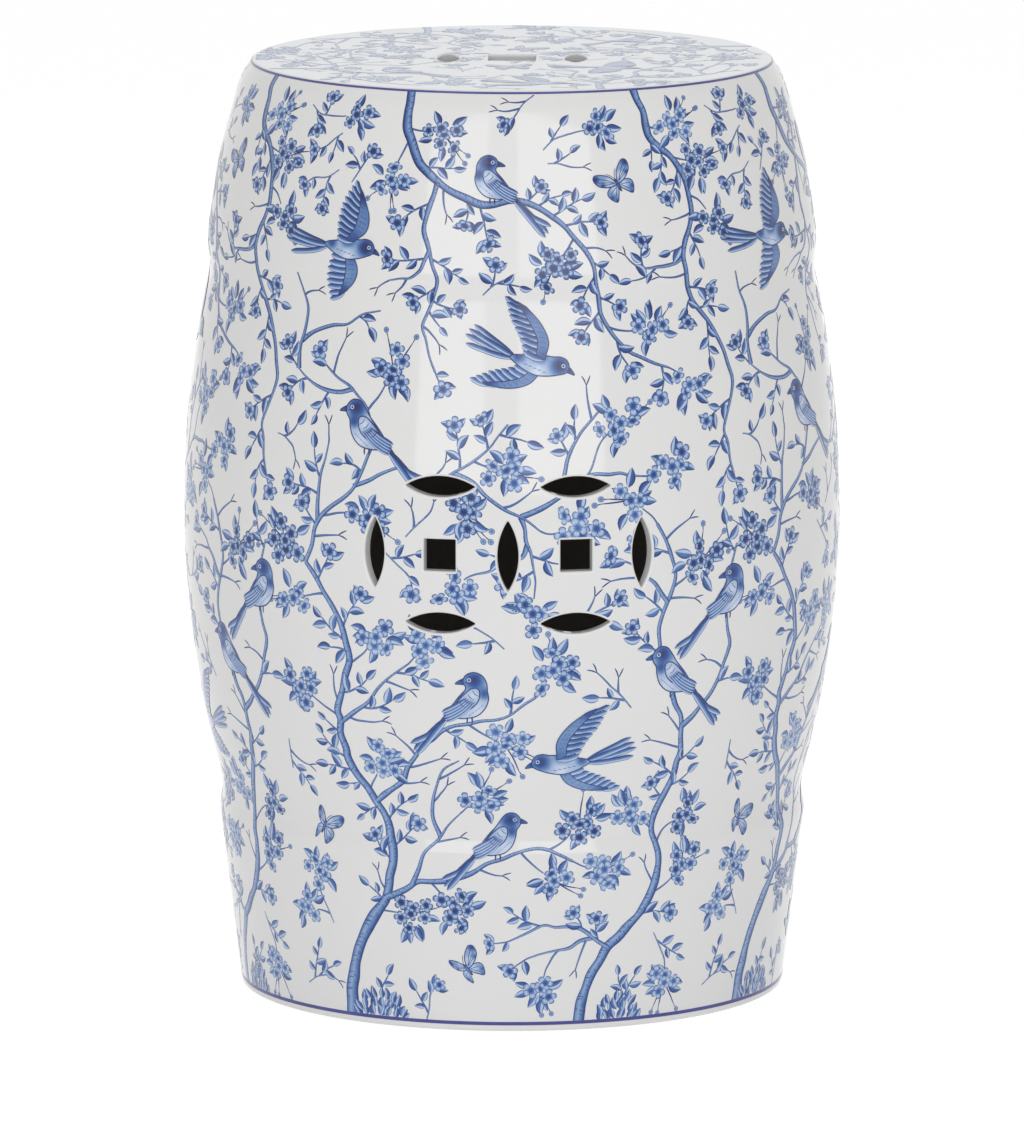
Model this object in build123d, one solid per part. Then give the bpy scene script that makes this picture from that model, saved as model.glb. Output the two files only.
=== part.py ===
"""Ceramic garden stool: an open-based, pierced barrel of luted clay sections under a flat seat.

Millimetres, +Z up, origin on the floor under the stool's centre, -Y is the front.
The barrel is turned about Z. From the floor up it is a foot section, a belly section with
coin-shaped piercings front and back, and a shoulder section; a seat slab closes it.
A coil of clay is worked into the inside of each seam and bonds the two pieces it touches.
"""
from build123d import *
import math
import os

os.makedirs("parts", exist_ok=True)

# Overall sizes
OVERALL_HEIGHT = 469.9
BELLY_RADIUS = 165.1
WALL = 7.5

# Outer outline of the barrel, from the floor up: radius at a height
FOOT_RADIUS = 136.6
FOOT_EDGE_ROUNDING = 2.0
FOOT_SIDE_TOP_RADIUS = 147.4
FOOT_SIDE_TOP_HEIGHT = 88.0
LOWER_GROOVE_RADIUS = 146.1
LOWER_GROOVE_HEIGHT = 100.0
LOWER_GROOVE_RISE = 1.85
BELLY_HEIGHT = 243.0
UPPER_GROOVE_RADIUS = 151.9
UPPER_GROOVE_DROP = 103.5
UPPER_GROOVE_RISE = 2.0
GROOVE_REACH = 12.0
SHOULDER_CREST_RADIUS = 153.0
SHOULDER_CREST_DROP = 89.4
SHOULDER_SPRING_FALL = 0.7
SHOULDER_SPRING_RISE = 7.5
SHOULDER_BULGE = 1.7

# Inside of the foot: a thick ring at the floor that thins to the wall
FOOT_RING_WIDTH = 10.0
FOOT_RING_HEIGHT = 8.0
FOOT_TAPER_HEIGHT = 18.0

# Seat slab
SEAT_THICKNESS = 10.0
SEAT_EDGE_RADIUS = 136.0
RIM_LINE_RADIUS = 130.6
RIM_LINE_DROP = 0.9
SEAT_FLAT_RADIUS = 128.8

# Coin piercings: each coin is a square with four lenses round it, and the pair shares one lens
COIN_HEIGHT = 244.0
COIN_RADIUS = 34.0
COIN_LENS_LENGTH = 35.0
COIN_LENS_WIDTH = 10.3
COIN_SQUARE = 15.8
COIN_SIDES = (-90.0, 90.0)

# Finger holes through the seat
FINGER_SQUARE = 23.5
FINGER_LENS_LENGTH = 37.0
FINGER_LENS_WIDTH = 11.0
FINGER_LENS_OFFSET = 32.0

# Coils of clay in the seams
LUTING_COIL_RADIUS = 5.0

# Heights that follow from the sizes above
UPPER_GROOVE_HEIGHT = OVERALL_HEIGHT - UPPER_GROOVE_DROP
SHOULDER_CREST_HEIGHT = OVERALL_HEIGHT - SHOULDER_CREST_DROP
SEAT_UNDERSIDE = OVERALL_HEIGHT - SEAT_THICKNESS
SHOULDER_TOP_INNER_RADIUS = SEAT_EDGE_RADIUS - WALL

UPWARD = (0, 1)
INWARD = (-1, 0)


def barrel_arc(groove_radius, groove_rise, groove_height, towards_belly):
    """Arc from a groove's end to the belly's widest ring, where it stands upright."""
    end_radius = groove_radius + groove_rise
    end_height = groove_height + towards_belly * GROOVE_REACH
    across = BELLY_RADIUS - end_radius
    along = BELLY_HEIGHT - end_height
    arc_radius = (across**2 + along**2) / (2 * across)
    half_turn = math.asin(along / arc_radius) / 2
    middle = (
        BELLY_RADIUS - arc_radius * (1 - math.cos(half_turn)),
        BELLY_HEIGHT - arc_radius * math.sin(half_turn),
    )
    return ThreePointArc((end_radius, end_height), middle, (BELLY_RADIUS, BELLY_HEIGHT))


def foot_outline():
    """Outer curve of the foot section, from the floor to the lower groove."""
    side = Line((FOOT_RADIUS, 0), (FOOT_SIDE_TOP_RADIUS, FOOT_SIDE_TOP_HEIGHT))
    crest = Spline(
        side @ 1, (LOWER_GROOVE_RADIUS, LOWER_GROOVE_HEIGHT), tangents=[side % 1, UPWARD]
    )
    return [side, crest]


def belly_outline():
    """Outer curve of the belly section, from the lower groove to the upper one."""
    lower = barrel_arc(LOWER_GROOVE_RADIUS, LOWER_GROOVE_RISE, LOWER_GROOVE_HEIGHT, 1)
    upper = barrel_arc(UPPER_GROOVE_RADIUS, UPPER_GROOVE_RISE, UPPER_GROOVE_HEIGHT, -1)
    into_belly = Spline(
        (LOWER_GROOVE_RADIUS, LOWER_GROOVE_HEIGHT), lower @ 0, tangents=[UPWARD, lower % 0]
    )
    out_of_belly = Spline(
        (UPPER_GROOVE_RADIUS, UPPER_GROOVE_HEIGHT), upper @ 0, tangents=[(0, -1), upper % 0]
    )
    return [into_belly, lower, upper, out_of_belly]


def shoulder_outline():
    """Outer curve of the shoulder section, from the upper groove to the seat slab."""
    spring = (
        SHOULDER_CREST_RADIUS - SHOULDER_SPRING_FALL,
        SHOULDER_CREST_HEIGHT + SHOULDER_SPRING_RISE,
    )
    side = SagittaArc(spring, (SEAT_EDGE_RADIUS, SEAT_UNDERSIDE), -SHOULDER_BULGE)
    crest = Spline(
        (UPPER_GROOVE_RADIUS, UPPER_GROOVE_HEIGHT),
        (SHOULDER_CREST_RADIUS, SHOULDER_CREST_HEIGHT),
        spring,
        tangents=[UPWARD, side % 0],
    )
    return [crest, side]


def turned(outline):
    """Solid made by turning a closed outline, given as radius and height, about Z."""
    return revolve(Plane.XZ * make_face(outline), Axis.Z)


def shifted_inwards(outline):
    """The same curves moved towards the axis by the wall's thickness."""
    return [Pos(-WALL, 0) * curve for curve in outline]


def ends(outline):
    """Lowest and highest point of a chain of curves."""
    points = [tuple(vertex)[:2] for curve in outline for vertex in curve.vertices()]
    by_height = sorted(points, key=lambda point: point[1])
    return by_height[0], by_height[-1]


def shell_section(outline):
    """A section whose inside follows its outside at the wall's thickness."""
    inside = shifted_inwards(outline)
    outer_low, outer_high = ends(outline)
    inner_low, inner_high = ends(inside)
    rims = [Line(inner_low, outer_low), Line(outer_high, inner_high)]
    return turned(outline + inside + rims)


def foot_section():
    """Lowest section, with a thick ring to stand on and a softened outer edge."""
    side, crest = foot_outline()
    section = shell_section([side, crest])
    ring_inner = FOOT_RADIUS - FOOT_RING_WIDTH
    taper_top = side @ ((FOOT_RING_HEIGHT + FOOT_TAPER_HEIGHT) / FOOT_SIDE_TOP_HEIGHT)
    ring = Polyline(
        (ring_inner, 0),
        (ring_inner, FOOT_RING_HEIGHT),
        (taper_top.X - WALL, taper_top.Y),
        (FOOT_RADIUS, taper_top.Y),
        (FOOT_RADIUS, 0),
        close=True,
    )
    section = section + turned(ring)
    outer_edge = section.edges().filter_by(GeomType.CIRCLE).group_by(Axis.Z)[0].sort_by(SortBy.RADIUS)[-1]
    return fillet(outer_edge, FOOT_EDGE_ROUNDING)


def lens(length, width):
    """Pointed oval between two equal arcs, its long axis along X."""
    tips = (-length / 2, 0), (length / 2, 0)
    upper = ThreePointArc(tips[0], (0, width / 2), tips[1])
    lower = ThreePointArc(tips[0], (0, -width / 2), tips[1])
    return make_face([upper, lower])


def through_wall(face, side, turn, rise):
    """Cutter along a radius: a face turned from a side's middle and raised from the coin height."""
    azimuth = math.radians(side + turn)
    outward = (math.cos(azimuth), math.sin(azimuth), 0)
    tangent = (-math.sin(azimuth), math.cos(azimuth), 0)
    plane = Plane(origin=(0, 0, COIN_HEIGHT + rise), x_dir=tangent, z_dir=outward)
    return extrude(plane * face, amount=BELLY_RADIUS + WALL)


def coin_cutters(side):
    """Cutters of one pair of coins that share their middle lens."""
    half_pitch = math.degrees(COIN_RADIUS / BELLY_RADIUS)
    flat_lens = lens(COIN_LENS_LENGTH, COIN_LENS_WIDTH)
    upright_lens = Rot(0, 0, 90) * flat_lens
    square = Rectangle(COIN_SQUARE, COIN_SQUARE)
    cutters = [through_wall(upright_lens, side, step * 2 * half_pitch, 0) for step in (-1, 0, 1)]
    for coin in (-half_pitch, half_pitch):
        cutters.append(through_wall(square, side, coin, 0))
        cutters += [through_wall(flat_lens, side, coin, rise) for rise in (-COIN_RADIUS, COIN_RADIUS)]
    return cutters


def belly_section():
    """Middle section, pierced front and back."""
    section = shell_section(belly_outline())
    for side in COIN_SIDES:
        for cutter in coin_cutters(side):
            section = section - cutter
    return section


def shoulder_section():
    """Upper section, which carries the seat slab on its top edge."""
    return shell_section(shoulder_outline())


def seat_slab():
    """Flat seat whose edge carries on the shoulder's curve, with three finger holes."""
    side = shoulder_outline()[-1]
    edge = Spline(
        (SEAT_EDGE_RADIUS, SEAT_UNDERSIDE),
        (RIM_LINE_RADIUS, OVERALL_HEIGHT - RIM_LINE_DROP),
        (SEAT_FLAT_RADIUS, OVERALL_HEIGHT),
        tangents=[side % 1, INWARD],
    )
    top = Line((SEAT_FLAT_RADIUS, OVERALL_HEIGHT), (0, OVERALL_HEIGHT))
    middle = Line((0, OVERALL_HEIGHT), (0, SEAT_UNDERSIDE))
    bottom = Line((0, SEAT_UNDERSIDE), (SEAT_EDGE_RADIUS, SEAT_UNDERSIDE))
    slab = turned([edge, top, middle, bottom])
    upright_lens = Rot(0, 0, 90) * lens(FINGER_LENS_LENGTH, FINGER_LENS_WIDTH)
    openings = [Rectangle(FINGER_SQUARE, FINGER_SQUARE)]
    openings += [Pos(step * FINGER_LENS_OFFSET, 0) * upright_lens for step in (-1, 1)]
    for opening in openings:
        slab = slab - extrude(Pos(0, 0, SEAT_UNDERSIDE) * opening, amount=SEAT_THICKNESS)
    return slab


def luting_coil(radius, height, neighbours):
    """Round coil of clay along a seam, with the parts that it is pressed against taken away."""
    coil = Pos(0, 0, height) * Torus(radius, LUTING_COIL_RADIUS)
    for neighbour in neighbours:
        coil = coil - neighbour
    return coil


foot = foot_section()
belly = belly_section()
shoulder = shoulder_section()
seat = seat_slab()
nodes = {
    "foot_section": foot,
    "belly_section": belly,
    "shoulder_section": shoulder,
    "seat_slab": seat,
    "foot_luting_coil": luting_coil(LOWER_GROOVE_RADIUS - WALL, LOWER_GROOVE_HEIGHT, (foot, belly)),
    "shoulder_luting_coil": luting_coil(
        UPPER_GROOVE_RADIUS - WALL, UPPER_GROOVE_HEIGHT, (belly, shoulder)
    ),
    "seat_luting_coil": luting_coil(SHOULDER_TOP_INNER_RADIUS, SEAT_UNDERSIDE, (shoulder, seat)),
}
for name, solid in nodes.items():
    solid.label = name
    export_step(solid, f"parts/{name}.step")
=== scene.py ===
"""Looks of the ceramic garden stool: white glaze, a cobalt print, indigo lines and bare clay inside.

Sizes are millimetres, +Z up, with the front towards -Y, and every mesh is scaled to metres as it is
made. A turn is measured round the stool from its front, growing towards +X. The print is drawn flat, in
a plane that wraps round the barrel without changing any angle, and is then laid on the glaze.
"""

import logging
import math
import random
from dataclasses import dataclass, field, replace
from enum import Enum
from typing import Any, Sequence

import bpy
import numpy as np
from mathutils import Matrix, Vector
from mathutils.geometry import delaunay_2d_cdt


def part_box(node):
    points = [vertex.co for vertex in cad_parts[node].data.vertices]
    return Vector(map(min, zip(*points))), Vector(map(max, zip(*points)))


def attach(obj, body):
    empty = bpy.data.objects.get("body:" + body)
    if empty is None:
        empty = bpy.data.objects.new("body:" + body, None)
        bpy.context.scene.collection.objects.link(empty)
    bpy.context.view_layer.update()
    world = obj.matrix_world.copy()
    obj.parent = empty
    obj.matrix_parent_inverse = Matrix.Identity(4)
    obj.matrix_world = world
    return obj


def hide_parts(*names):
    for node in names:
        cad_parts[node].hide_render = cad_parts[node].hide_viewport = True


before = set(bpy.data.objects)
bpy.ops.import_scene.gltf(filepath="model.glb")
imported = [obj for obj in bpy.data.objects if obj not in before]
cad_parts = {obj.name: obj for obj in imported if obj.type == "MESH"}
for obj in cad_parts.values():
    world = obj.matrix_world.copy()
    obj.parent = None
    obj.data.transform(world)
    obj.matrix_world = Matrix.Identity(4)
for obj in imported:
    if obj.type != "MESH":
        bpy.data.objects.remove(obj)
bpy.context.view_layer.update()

METRES = 0.001
COLUMNS = 360
TURNS = np.arange(COLUMNS) * (2 * math.pi / COLUMNS)
FINISH = "_finish"

Array = np.ndarray
Object = bpy.types.Object
Material = bpy.types.Material
Pair = tuple[float, float]
Triple = tuple[float, float, float]
Points = Sequence[Pair]
Lanes = Sequence[Pair]
Colour = Triple

BLACK, WHITE = (0, 0, 0), (255, 255, 255)
LIGHT = (1.0, 1.0, 1.0, 1.0)

log = logging.getLogger("garden_stool")


# ---- Plane geometry ----


def way_at(angle: float) -> Array:
    """Unit direction at an angle in radians."""
    return np.array([math.cos(angle), math.sin(angle)])


def unit_turns(degrees: Sequence[float]) -> Array:
    """Unit directions at some angles in degrees."""
    angles = np.radians(degrees)
    return np.stack([np.cos(angles), np.sin(angles)], 1)


def outward(turns: Array) -> Array:
    """Level directions away from the stool's axis at some turns."""
    return np.stack([np.sin(turns), -np.cos(turns)], 1)


def left_of(ways: Array) -> Array:
    """Directions turned a quarter to the left."""
    return np.stack([-ways[..., 1], ways[..., 0]], -1)


def spun(angle: float) -> Array:
    """Matrix that turns rows of places by an angle in radians."""
    return np.stack([way_at(angle), left_of(way_at(angle))])


def scaled(outline: Array, size: float) -> Array:
    """An outline made larger or smaller about its mean."""
    middle = outline.mean(0)
    return middle + (outline - middle) * size


def box_outline(half: float, low: float, high: float) -> Array:
    """Corners of a box about the upright axis, counter-clockwise."""
    return np.array([(-half, low), (half, low), (half, high), (-half, high)])


def distances(path: Array) -> Array:
    """Distance of each point of a path from its start, along it."""
    return np.append(0, np.cumsum(np.linalg.norm(np.diff(path, axis=0), axis=1)))


def read_off(at: Array, scale: Array, pairs: Array) -> Array:
    """Reads pairs of values off a curve, at places on its growing scale."""
    return np.stack([np.interp(at, scale, values) for values in pairs.T], 1)


def grid_triangles(rows: int, columns: int, closed: bool = False) -> Array:
    """Triangles between the neighbouring rows of a grid of points.

    Args:
        rows: Number of rows.
        columns: Number of points in a row.
        closed: Whether the last column joins the first.

    Returns:
        Point numbers, three to a triangle.
    """
    row, column = np.meshgrid(np.arange(rows - 1), np.arange(columns - (not closed)), indexing="ij")
    here = row * columns + column
    beside = row * columns + (column + 1) % columns
    halves = [[here, beside, beside + columns], [here, beside + columns, here + columns]]
    return np.concatenate([np.stack(half, -1).reshape(-1, 3) for half in halves])


def smooth(points: Points, step: float = 1.0, closed: bool = False) -> Array:
    """Catmull-Rom curve through points.

    Args:
        points: Points that the curve passes through.
        step: Rough distance between the samples.
        closed: Whether the curve returns to its first point.

    Returns:
        Samples along the curve; a closed curve doesn't repeat its first one.
    """
    given = np.asarray(points, float)
    if closed:
        padded = np.concatenate([given[-1:], given, given[:2]])
    else:
        padded = np.concatenate([2 * given[:1] - given[1:2], given, 2 * given[-1:] - given[-2:-1]])
    pieces = []
    for before, start, end, after in zip(padded, padded[1:], padded[2:], padded[3:]):
        count = max(1, round(float(np.linalg.norm(end - start)) / step))
        t = (np.arange(count) / count)[:, None]
        bend = 2 * before - 5 * start + 4 * end - after
        twist = 3 * start - before - 3 * end + after
        pieces.append(start + 0.5 * t * (end - before + t * (bend + t * twist)))
    if not closed:
        pieces.append(given[-1:])
    return np.concatenate(pieces)


def ways_along(path: Array) -> Array:
    """Unit directions along a path, one for each of its points."""
    ways = np.gradient(path, axis=0)
    return ways / np.maximum(np.linalg.norm(ways, axis=1, keepdims=True), 1e-9)


def arc(start: Sequence[float], end: Sequence[float], bulge: float, steps: int) -> Array:
    """Circular arc that stands out to the right of the way from start to end.

    Args:
        start: First point.
        end: Last point.
        bulge: How far the arc's middle stands off the straight line.
        steps: Number of steps along it.

    Returns:
        The arc's points, with both ends.
    """
    first, last = np.asarray(start, float), np.asarray(end, float)
    chord = last - first
    length = float(np.linalg.norm(chord))
    along = chord / length
    across = -left_of(along)
    radius = (length**2 / 4 + bulge**2) / (2 * bulge)
    half_turn = math.asin(length / 2 / radius)
    turns = np.linspace(-half_turn, half_turn, steps + 1)[:, None]
    centre = (first + last) / 2 - across * (radius - bulge)
    return centre + radius * (np.sin(turns) * along + np.cos(turns) * across)


def blend_curve(start: Sequence[float], end: Sequence[float], ways: Points, steps: int) -> Array:
    """Cubic curve between two points that leaves and arrives in given directions.

    Args:
        start: First point.
        end: Last point.
        ways: Direction at the start and direction at the end.
        steps: Number of steps along it.

    Returns:
        The curve's points, with both ends.
    """
    first, last = np.asarray(start, float), np.asarray(end, float)
    reach = np.linalg.norm(last - first)
    leave, arrive = (np.asarray(way) / np.linalg.norm(way) * reach for way in ways)
    t = np.linspace(0, 1, steps + 1)[:, None]
    return (
        first * (1 + 2 * t) * (1 - t) ** 2
        + leave * t * (1 - t) ** 2
        + last * t**2 * (3 - 2 * t)
        + arrive * t**2 * (t - 1)
    )


def inside(points: Array, outline: Array) -> Array:
    """Tells which points lie inside a closed outline.

    Args:
        points: Points to test.
        outline: Corners of the outline, in order.

    Returns:
        One truth value for each point.
    """
    x, y = points[:, 0, None], points[:, 1, None]
    x0, y0 = outline.T
    x1, y1 = np.roll(outline, -1, 0).T
    straddles = (y0 > y) != (y1 > y)
    rise = np.where(y1 == y0, 1.0, y1 - y0)
    return (straddles & (x < x0 + (y - y0) / rise * (x1 - x0))).sum(1) % 2 == 1


def triangulated(points: Array, loops: Sequence[Array]) -> Array:
    """Delaunay triangles over points that keep the edges of some closed loops.

    Args:
        points: Every point, each at its own place.
        loops: Point numbers of each loop, in order.

    Returns:
        Point numbers, three to a triangle, counter-clockwise.
    """
    edges = [(int(a), int(b)) for loop in loops for a, b in zip(loop, np.roll(loop, -1))]
    made = delaunay_2d_cdt([Vector(p) for p in points.tolist()], edges, [], 0, 1e-7, True)
    source = [first[0] for first in made[3]]
    triangles = np.array([[source[corner] for corner in face] for face in made[2]])
    a, b, c = (points[triangles[:, corner]] for corner in range(3))
    area = np.cross(b - a, c - a)
    triangles = np.where(area[:, None] < 0, triangles[:, ::-1], triangles)
    return triangles[np.abs(area) > 1e-9]


# ---- Shader expressions ----


class Signal:
    """An output socket whose arithmetic adds Math nodes to its material."""

    def __init__(self, shader: "Shader", socket: bpy.types.NodeSocket) -> None:
        """Remembers the socket and the shader that new nodes go into."""
        self.shader = shader
        self.socket = socket

    def _math(self, operation: str, first: Any, second: Any) -> "Signal":
        """Adds a Math node that works on two values."""
        return self.shader.node("ShaderNodeMath", {"operation": operation}, {0: first, 1: second})

    def __add__(self, other: Any) -> "Signal":
        """Sum."""
        return self._math("ADD", self, other)

    def __radd__(self, other: Any) -> "Signal":
        """Sum with a number on the left."""
        return self._math("ADD", other, self)

    def __sub__(self, other: Any) -> "Signal":
        """Difference."""
        return self._math("SUBTRACT", self, other)

    def __rsub__(self, other: Any) -> "Signal":
        """Difference from a number."""
        return self._math("SUBTRACT", other, self)

    def __mul__(self, other: Any) -> "Signal":
        """Product."""
        return self._math("MULTIPLY", self, other)

    def __rmul__(self, other: Any) -> "Signal":
        """Product with a number on the left."""
        return self._math("MULTIPLY", other, self)


class Shader:
    """A material's node tree, built from expressions."""

    def __init__(self, tree: bpy.types.NodeTree) -> None:
        """Empties the tree."""
        self.tree = tree
        tree.nodes.clear()

    def node(
        self, kind: str, settings: dict | None = None, inputs: dict | None = None, output: Any = 0
    ) -> Signal:
        """Adds a node.

        Args:
            kind: Blender's name for the node type.
            settings: Its properties; "stops" are a colour ramp's places and colours.
            inputs: Values or signals for its sockets, by name or number.
            output: Name or number of the socket to hand back.

        Returns:
            The chosen output.
        """
        made = self.tree.nodes.new(kind)
        for name, value in (settings or {}).items():
            if name == "stops":
                self._set_stops(made.color_ramp, value)
            else:
                setattr(made, name, value)
        for name, value in (inputs or {}).items():
            if isinstance(value, Signal):
                self.tree.links.new(value.socket, made.inputs[name])
            else:
                made.inputs[name].default_value = value
        return Signal(self, made.outputs[output])

    @staticmethod
    def _set_stops(ramp: bpy.types.ColorRamp, stops: Sequence[tuple[float, Colour]]) -> None:
        """Gives a colour ramp its stops.

        Args:
            ramp: The ramp.
            stops: Place from 0 to 1 and colour of each stop.
        """
        while len(ramp.elements) < len(stops):
            ramp.elements.new(1.0)
        for element, (place, colour) in zip(ramp.elements, stops):
            element.position = place
            element.color = painted(colour)

    def noise(self, scale: float, detail: float = 2.0) -> Signal:
        """Noise fixed to the stool, with about `scale` lumps to a metre."""
        place = self.node("ShaderNodeTexCoord", output="Object")
        return self.node("ShaderNodeTexNoise", None, {"Vector": place, "Scale": scale, "Detail": detail})

    def mix(self, factor: Any, first: Any, second: Any) -> Signal:
        """Mixes two colours."""
        return self.node("ShaderNodeMix", {"data_type": "RGBA"}, {0: factor, 6: first, 7: second}, 2)

    def bumped(self, height: Signal, depth: float) -> Signal:
        """Turns a height into a normal, at `depth` metres for a height of one."""
        return self.node("ShaderNodeBump", None, {"Height": height, "Distance": depth})

    def surface(self, **inputs: Any) -> Signal:
        """Adds a Principled surface with sockets named by words joined with underscores."""
        named = {name.replace("_", " "): value for name, value in inputs.items()}
        return self.node("ShaderNodeBsdfPrincipled", None, named)

    def finish(self, surface: Signal, kind: str = "ShaderNodeOutputMaterial") -> None:
        """Sends a surface to the output."""
        self.tree.links.new(surface.socket, self.tree.nodes.new(kind).inputs["Surface"])


def painted(colour: Colour) -> tuple[float, float, float, float]:
    """Turns screen values from 0 to 255 into Blender's linear colour."""
    linear = [c / 3294.6 if c <= 10 else ((c / 255 + 0.055) / 1.055) ** 2.4 for c in colour]
    return (*linear, 1.0)


# ---- Finishes ----


@dataclass(frozen=True)
class Glaze:
    """The clear, glossy glaze over everything that shows, with faint ripples and a wandering gloss."""

    roughness: float = 0.055
    roughness_wander: float = 0.03
    wander_scale: float = 70.0
    ripples: float = 38.0
    ripple_depth: float = 0.00006
    density: float = 1.55

    def over(self, shader: Shader, colour: Signal) -> None:
        """Covers a colour with glaze.

        Args:
            shader: Shader to finish.
            colour: Colour under the glaze.
        """
        rough = self.roughness + self.roughness_wander * shader.noise(self.wander_scale, 3.0)
        normal = shader.bumped(shader.noise(self.ripples, 1.0), self.ripple_depth)
        shader.finish(shader.surface(Base_Color=colour, Roughness=rough, IOR=self.density, Normal=normal))


@dataclass(frozen=True)
class WhiteBody:
    """White slip under the glaze, with a slow drift in its warmth and pin-prick specks of clay."""

    light: Colour = (235, 234, 233)
    shade: Colour = (231, 231, 231)
    speck: Colour = (214, 212, 206)
    drift_scale: float = 9.0
    speck_scale: float = 420.0
    speck_range: Pair = (0.8, 0.88)
    glaze: Glaze = Glaze()

    def material(self) -> Material:
        """Makes the finish.

        Returns:
            The material.
        """
        material, shader = new_material("white_glaze")
        drift = shader.mix(shader.noise(self.drift_scale), painted(self.light), painted(self.shade))
        clear, full = self.speck_range
        stops = ((0.0, BLACK), (clear, BLACK), (full, WHITE))
        specks = shader.noise(self.speck_scale, 1.0)
        speck = shader.node("ShaderNodeValToRGB", {"stops": stops}, {0: specks})
        self.glaze.over(shader, shader.mix(speck, drift, painted(self.speck)))
        return material


@dataclass(frozen=True)
class CobaltPrint:
    """Cobalt under the glaze: its attribute `ink` runs from the palest wash to the darkest line.

    grain and clouds are the scale and the strength of its fine and its broad unevenness.
    """

    stops: tuple[tuple[float, Colour], ...] = (
        (0.0, (213, 223, 241)),
        (0.25, (168, 190, 223)),
        (0.5, (99, 136, 189)),
        (0.75, (37, 82, 156)),
        (1.0, (4, 31, 98)),
    )
    grain: Pair = (260.0, 0.14)
    clouds: Pair = (45.0, 0.1)
    glaze: Glaze = Glaze()

    def material(self) -> Material:
        """Makes the finish.

        Returns:
            The material.
        """
        material, shader = new_material("blue_print")
        ink = shader.node("ShaderNodeAttribute", {"attribute_name": "ink"}, output="Fac")
        (fine, grain), (coarse, clouds) = self.grain, self.clouds
        pooled_ink_and_painted_sheen = ink + grain * (shader.noise(fine, 3.0) - 0.5) + clouds * (shader.noise(coarse) - 0.5)
        self.glaze.over(shader, shader.node("ShaderNodeValToRGB", {"stops": self.stops}, {0: pooled_ink_and_painted_sheen}))
        return material


@dataclass(frozen=True)
class IndigoLine:
    """A brushed indigo line, thinner where the brush lifted."""

    deep: Colour = (52, 50, 124)
    thin: Colour = (78, 80, 158)
    brushing: float = 60.0
    glaze: Glaze = Glaze()

    def material(self) -> Material:
        """Makes the finish.

        Returns:
            The material.
        """
        material, shader = new_material("indigo_line")
        colour = shader.mix(shader.noise(self.brushing, 3.0), painted(self.deep), painted(self.thin))
        self.glaze.over(shader, colour)
        return material


@dataclass(frozen=True)
class BareClay:
    """Fired clay without glaze, matt and slightly gritty."""

    light: Colour = (146, 141, 134)
    dark: Colour = (122, 117, 110)
    cloud_scale: float = 26.0
    grit_scale: float = 320.0
    grit_depth: float = 0.0002
    roughness: float = 0.72
    roughness_wander: float = 0.16

    def material(self) -> Material:
        """Makes the finish.

        Returns:
            The material.
        """
        material, shader = new_material("bare_clay")
        grit = shader.noise(self.grit_scale, 4.0)
        colour = shader.mix(shader.noise(self.cloud_scale, 3.0), painted(self.light), painted(self.dark))
        normal = shader.bumped(grit, self.grit_depth)
        roughness = self.roughness + self.roughness_wander * grit
        shader.finish(shader.surface(Base_Color=colour, Roughness=roughness, Normal=normal))
        return material


def new_material(name: str) -> tuple[Material, Shader]:
    """Adds an empty node material, named for its slot in the record, and its shader."""
    material = bpy.data.materials.new(name + FINISH)
    material.use_nodes = True
    return material, Shader(material.node_tree)


# ---- The barrel's outline ----


OUTWARD, UPWARD, INWARD = (1.0, 0.0), (0.0, 1.0), (-1.0, 0.0)


@dataclass
class Outline:
    """A stretch of the outer outline: radius and height of its points, with their outward normals."""

    points: Array
    normals: Array

    @classmethod
    def through(cls, points: Array, first_way: Points | None, last_way: Points | None) -> "Outline":
        """Works out the normals of a stretch.

        Args:
            points: Radius and height of each point, from the lowest up.
            first_way: Direction of the outline at the first point, if it isn't as the points run.
            last_way: The same at the last point.

        Returns:
            The stretch.
        """
        ways = ways_along(points)
        for place, way in ((0, first_way), (-1, last_way)):
            if way is not None:
                ways[place] = way
        return cls(points, -left_of(ways))


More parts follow.
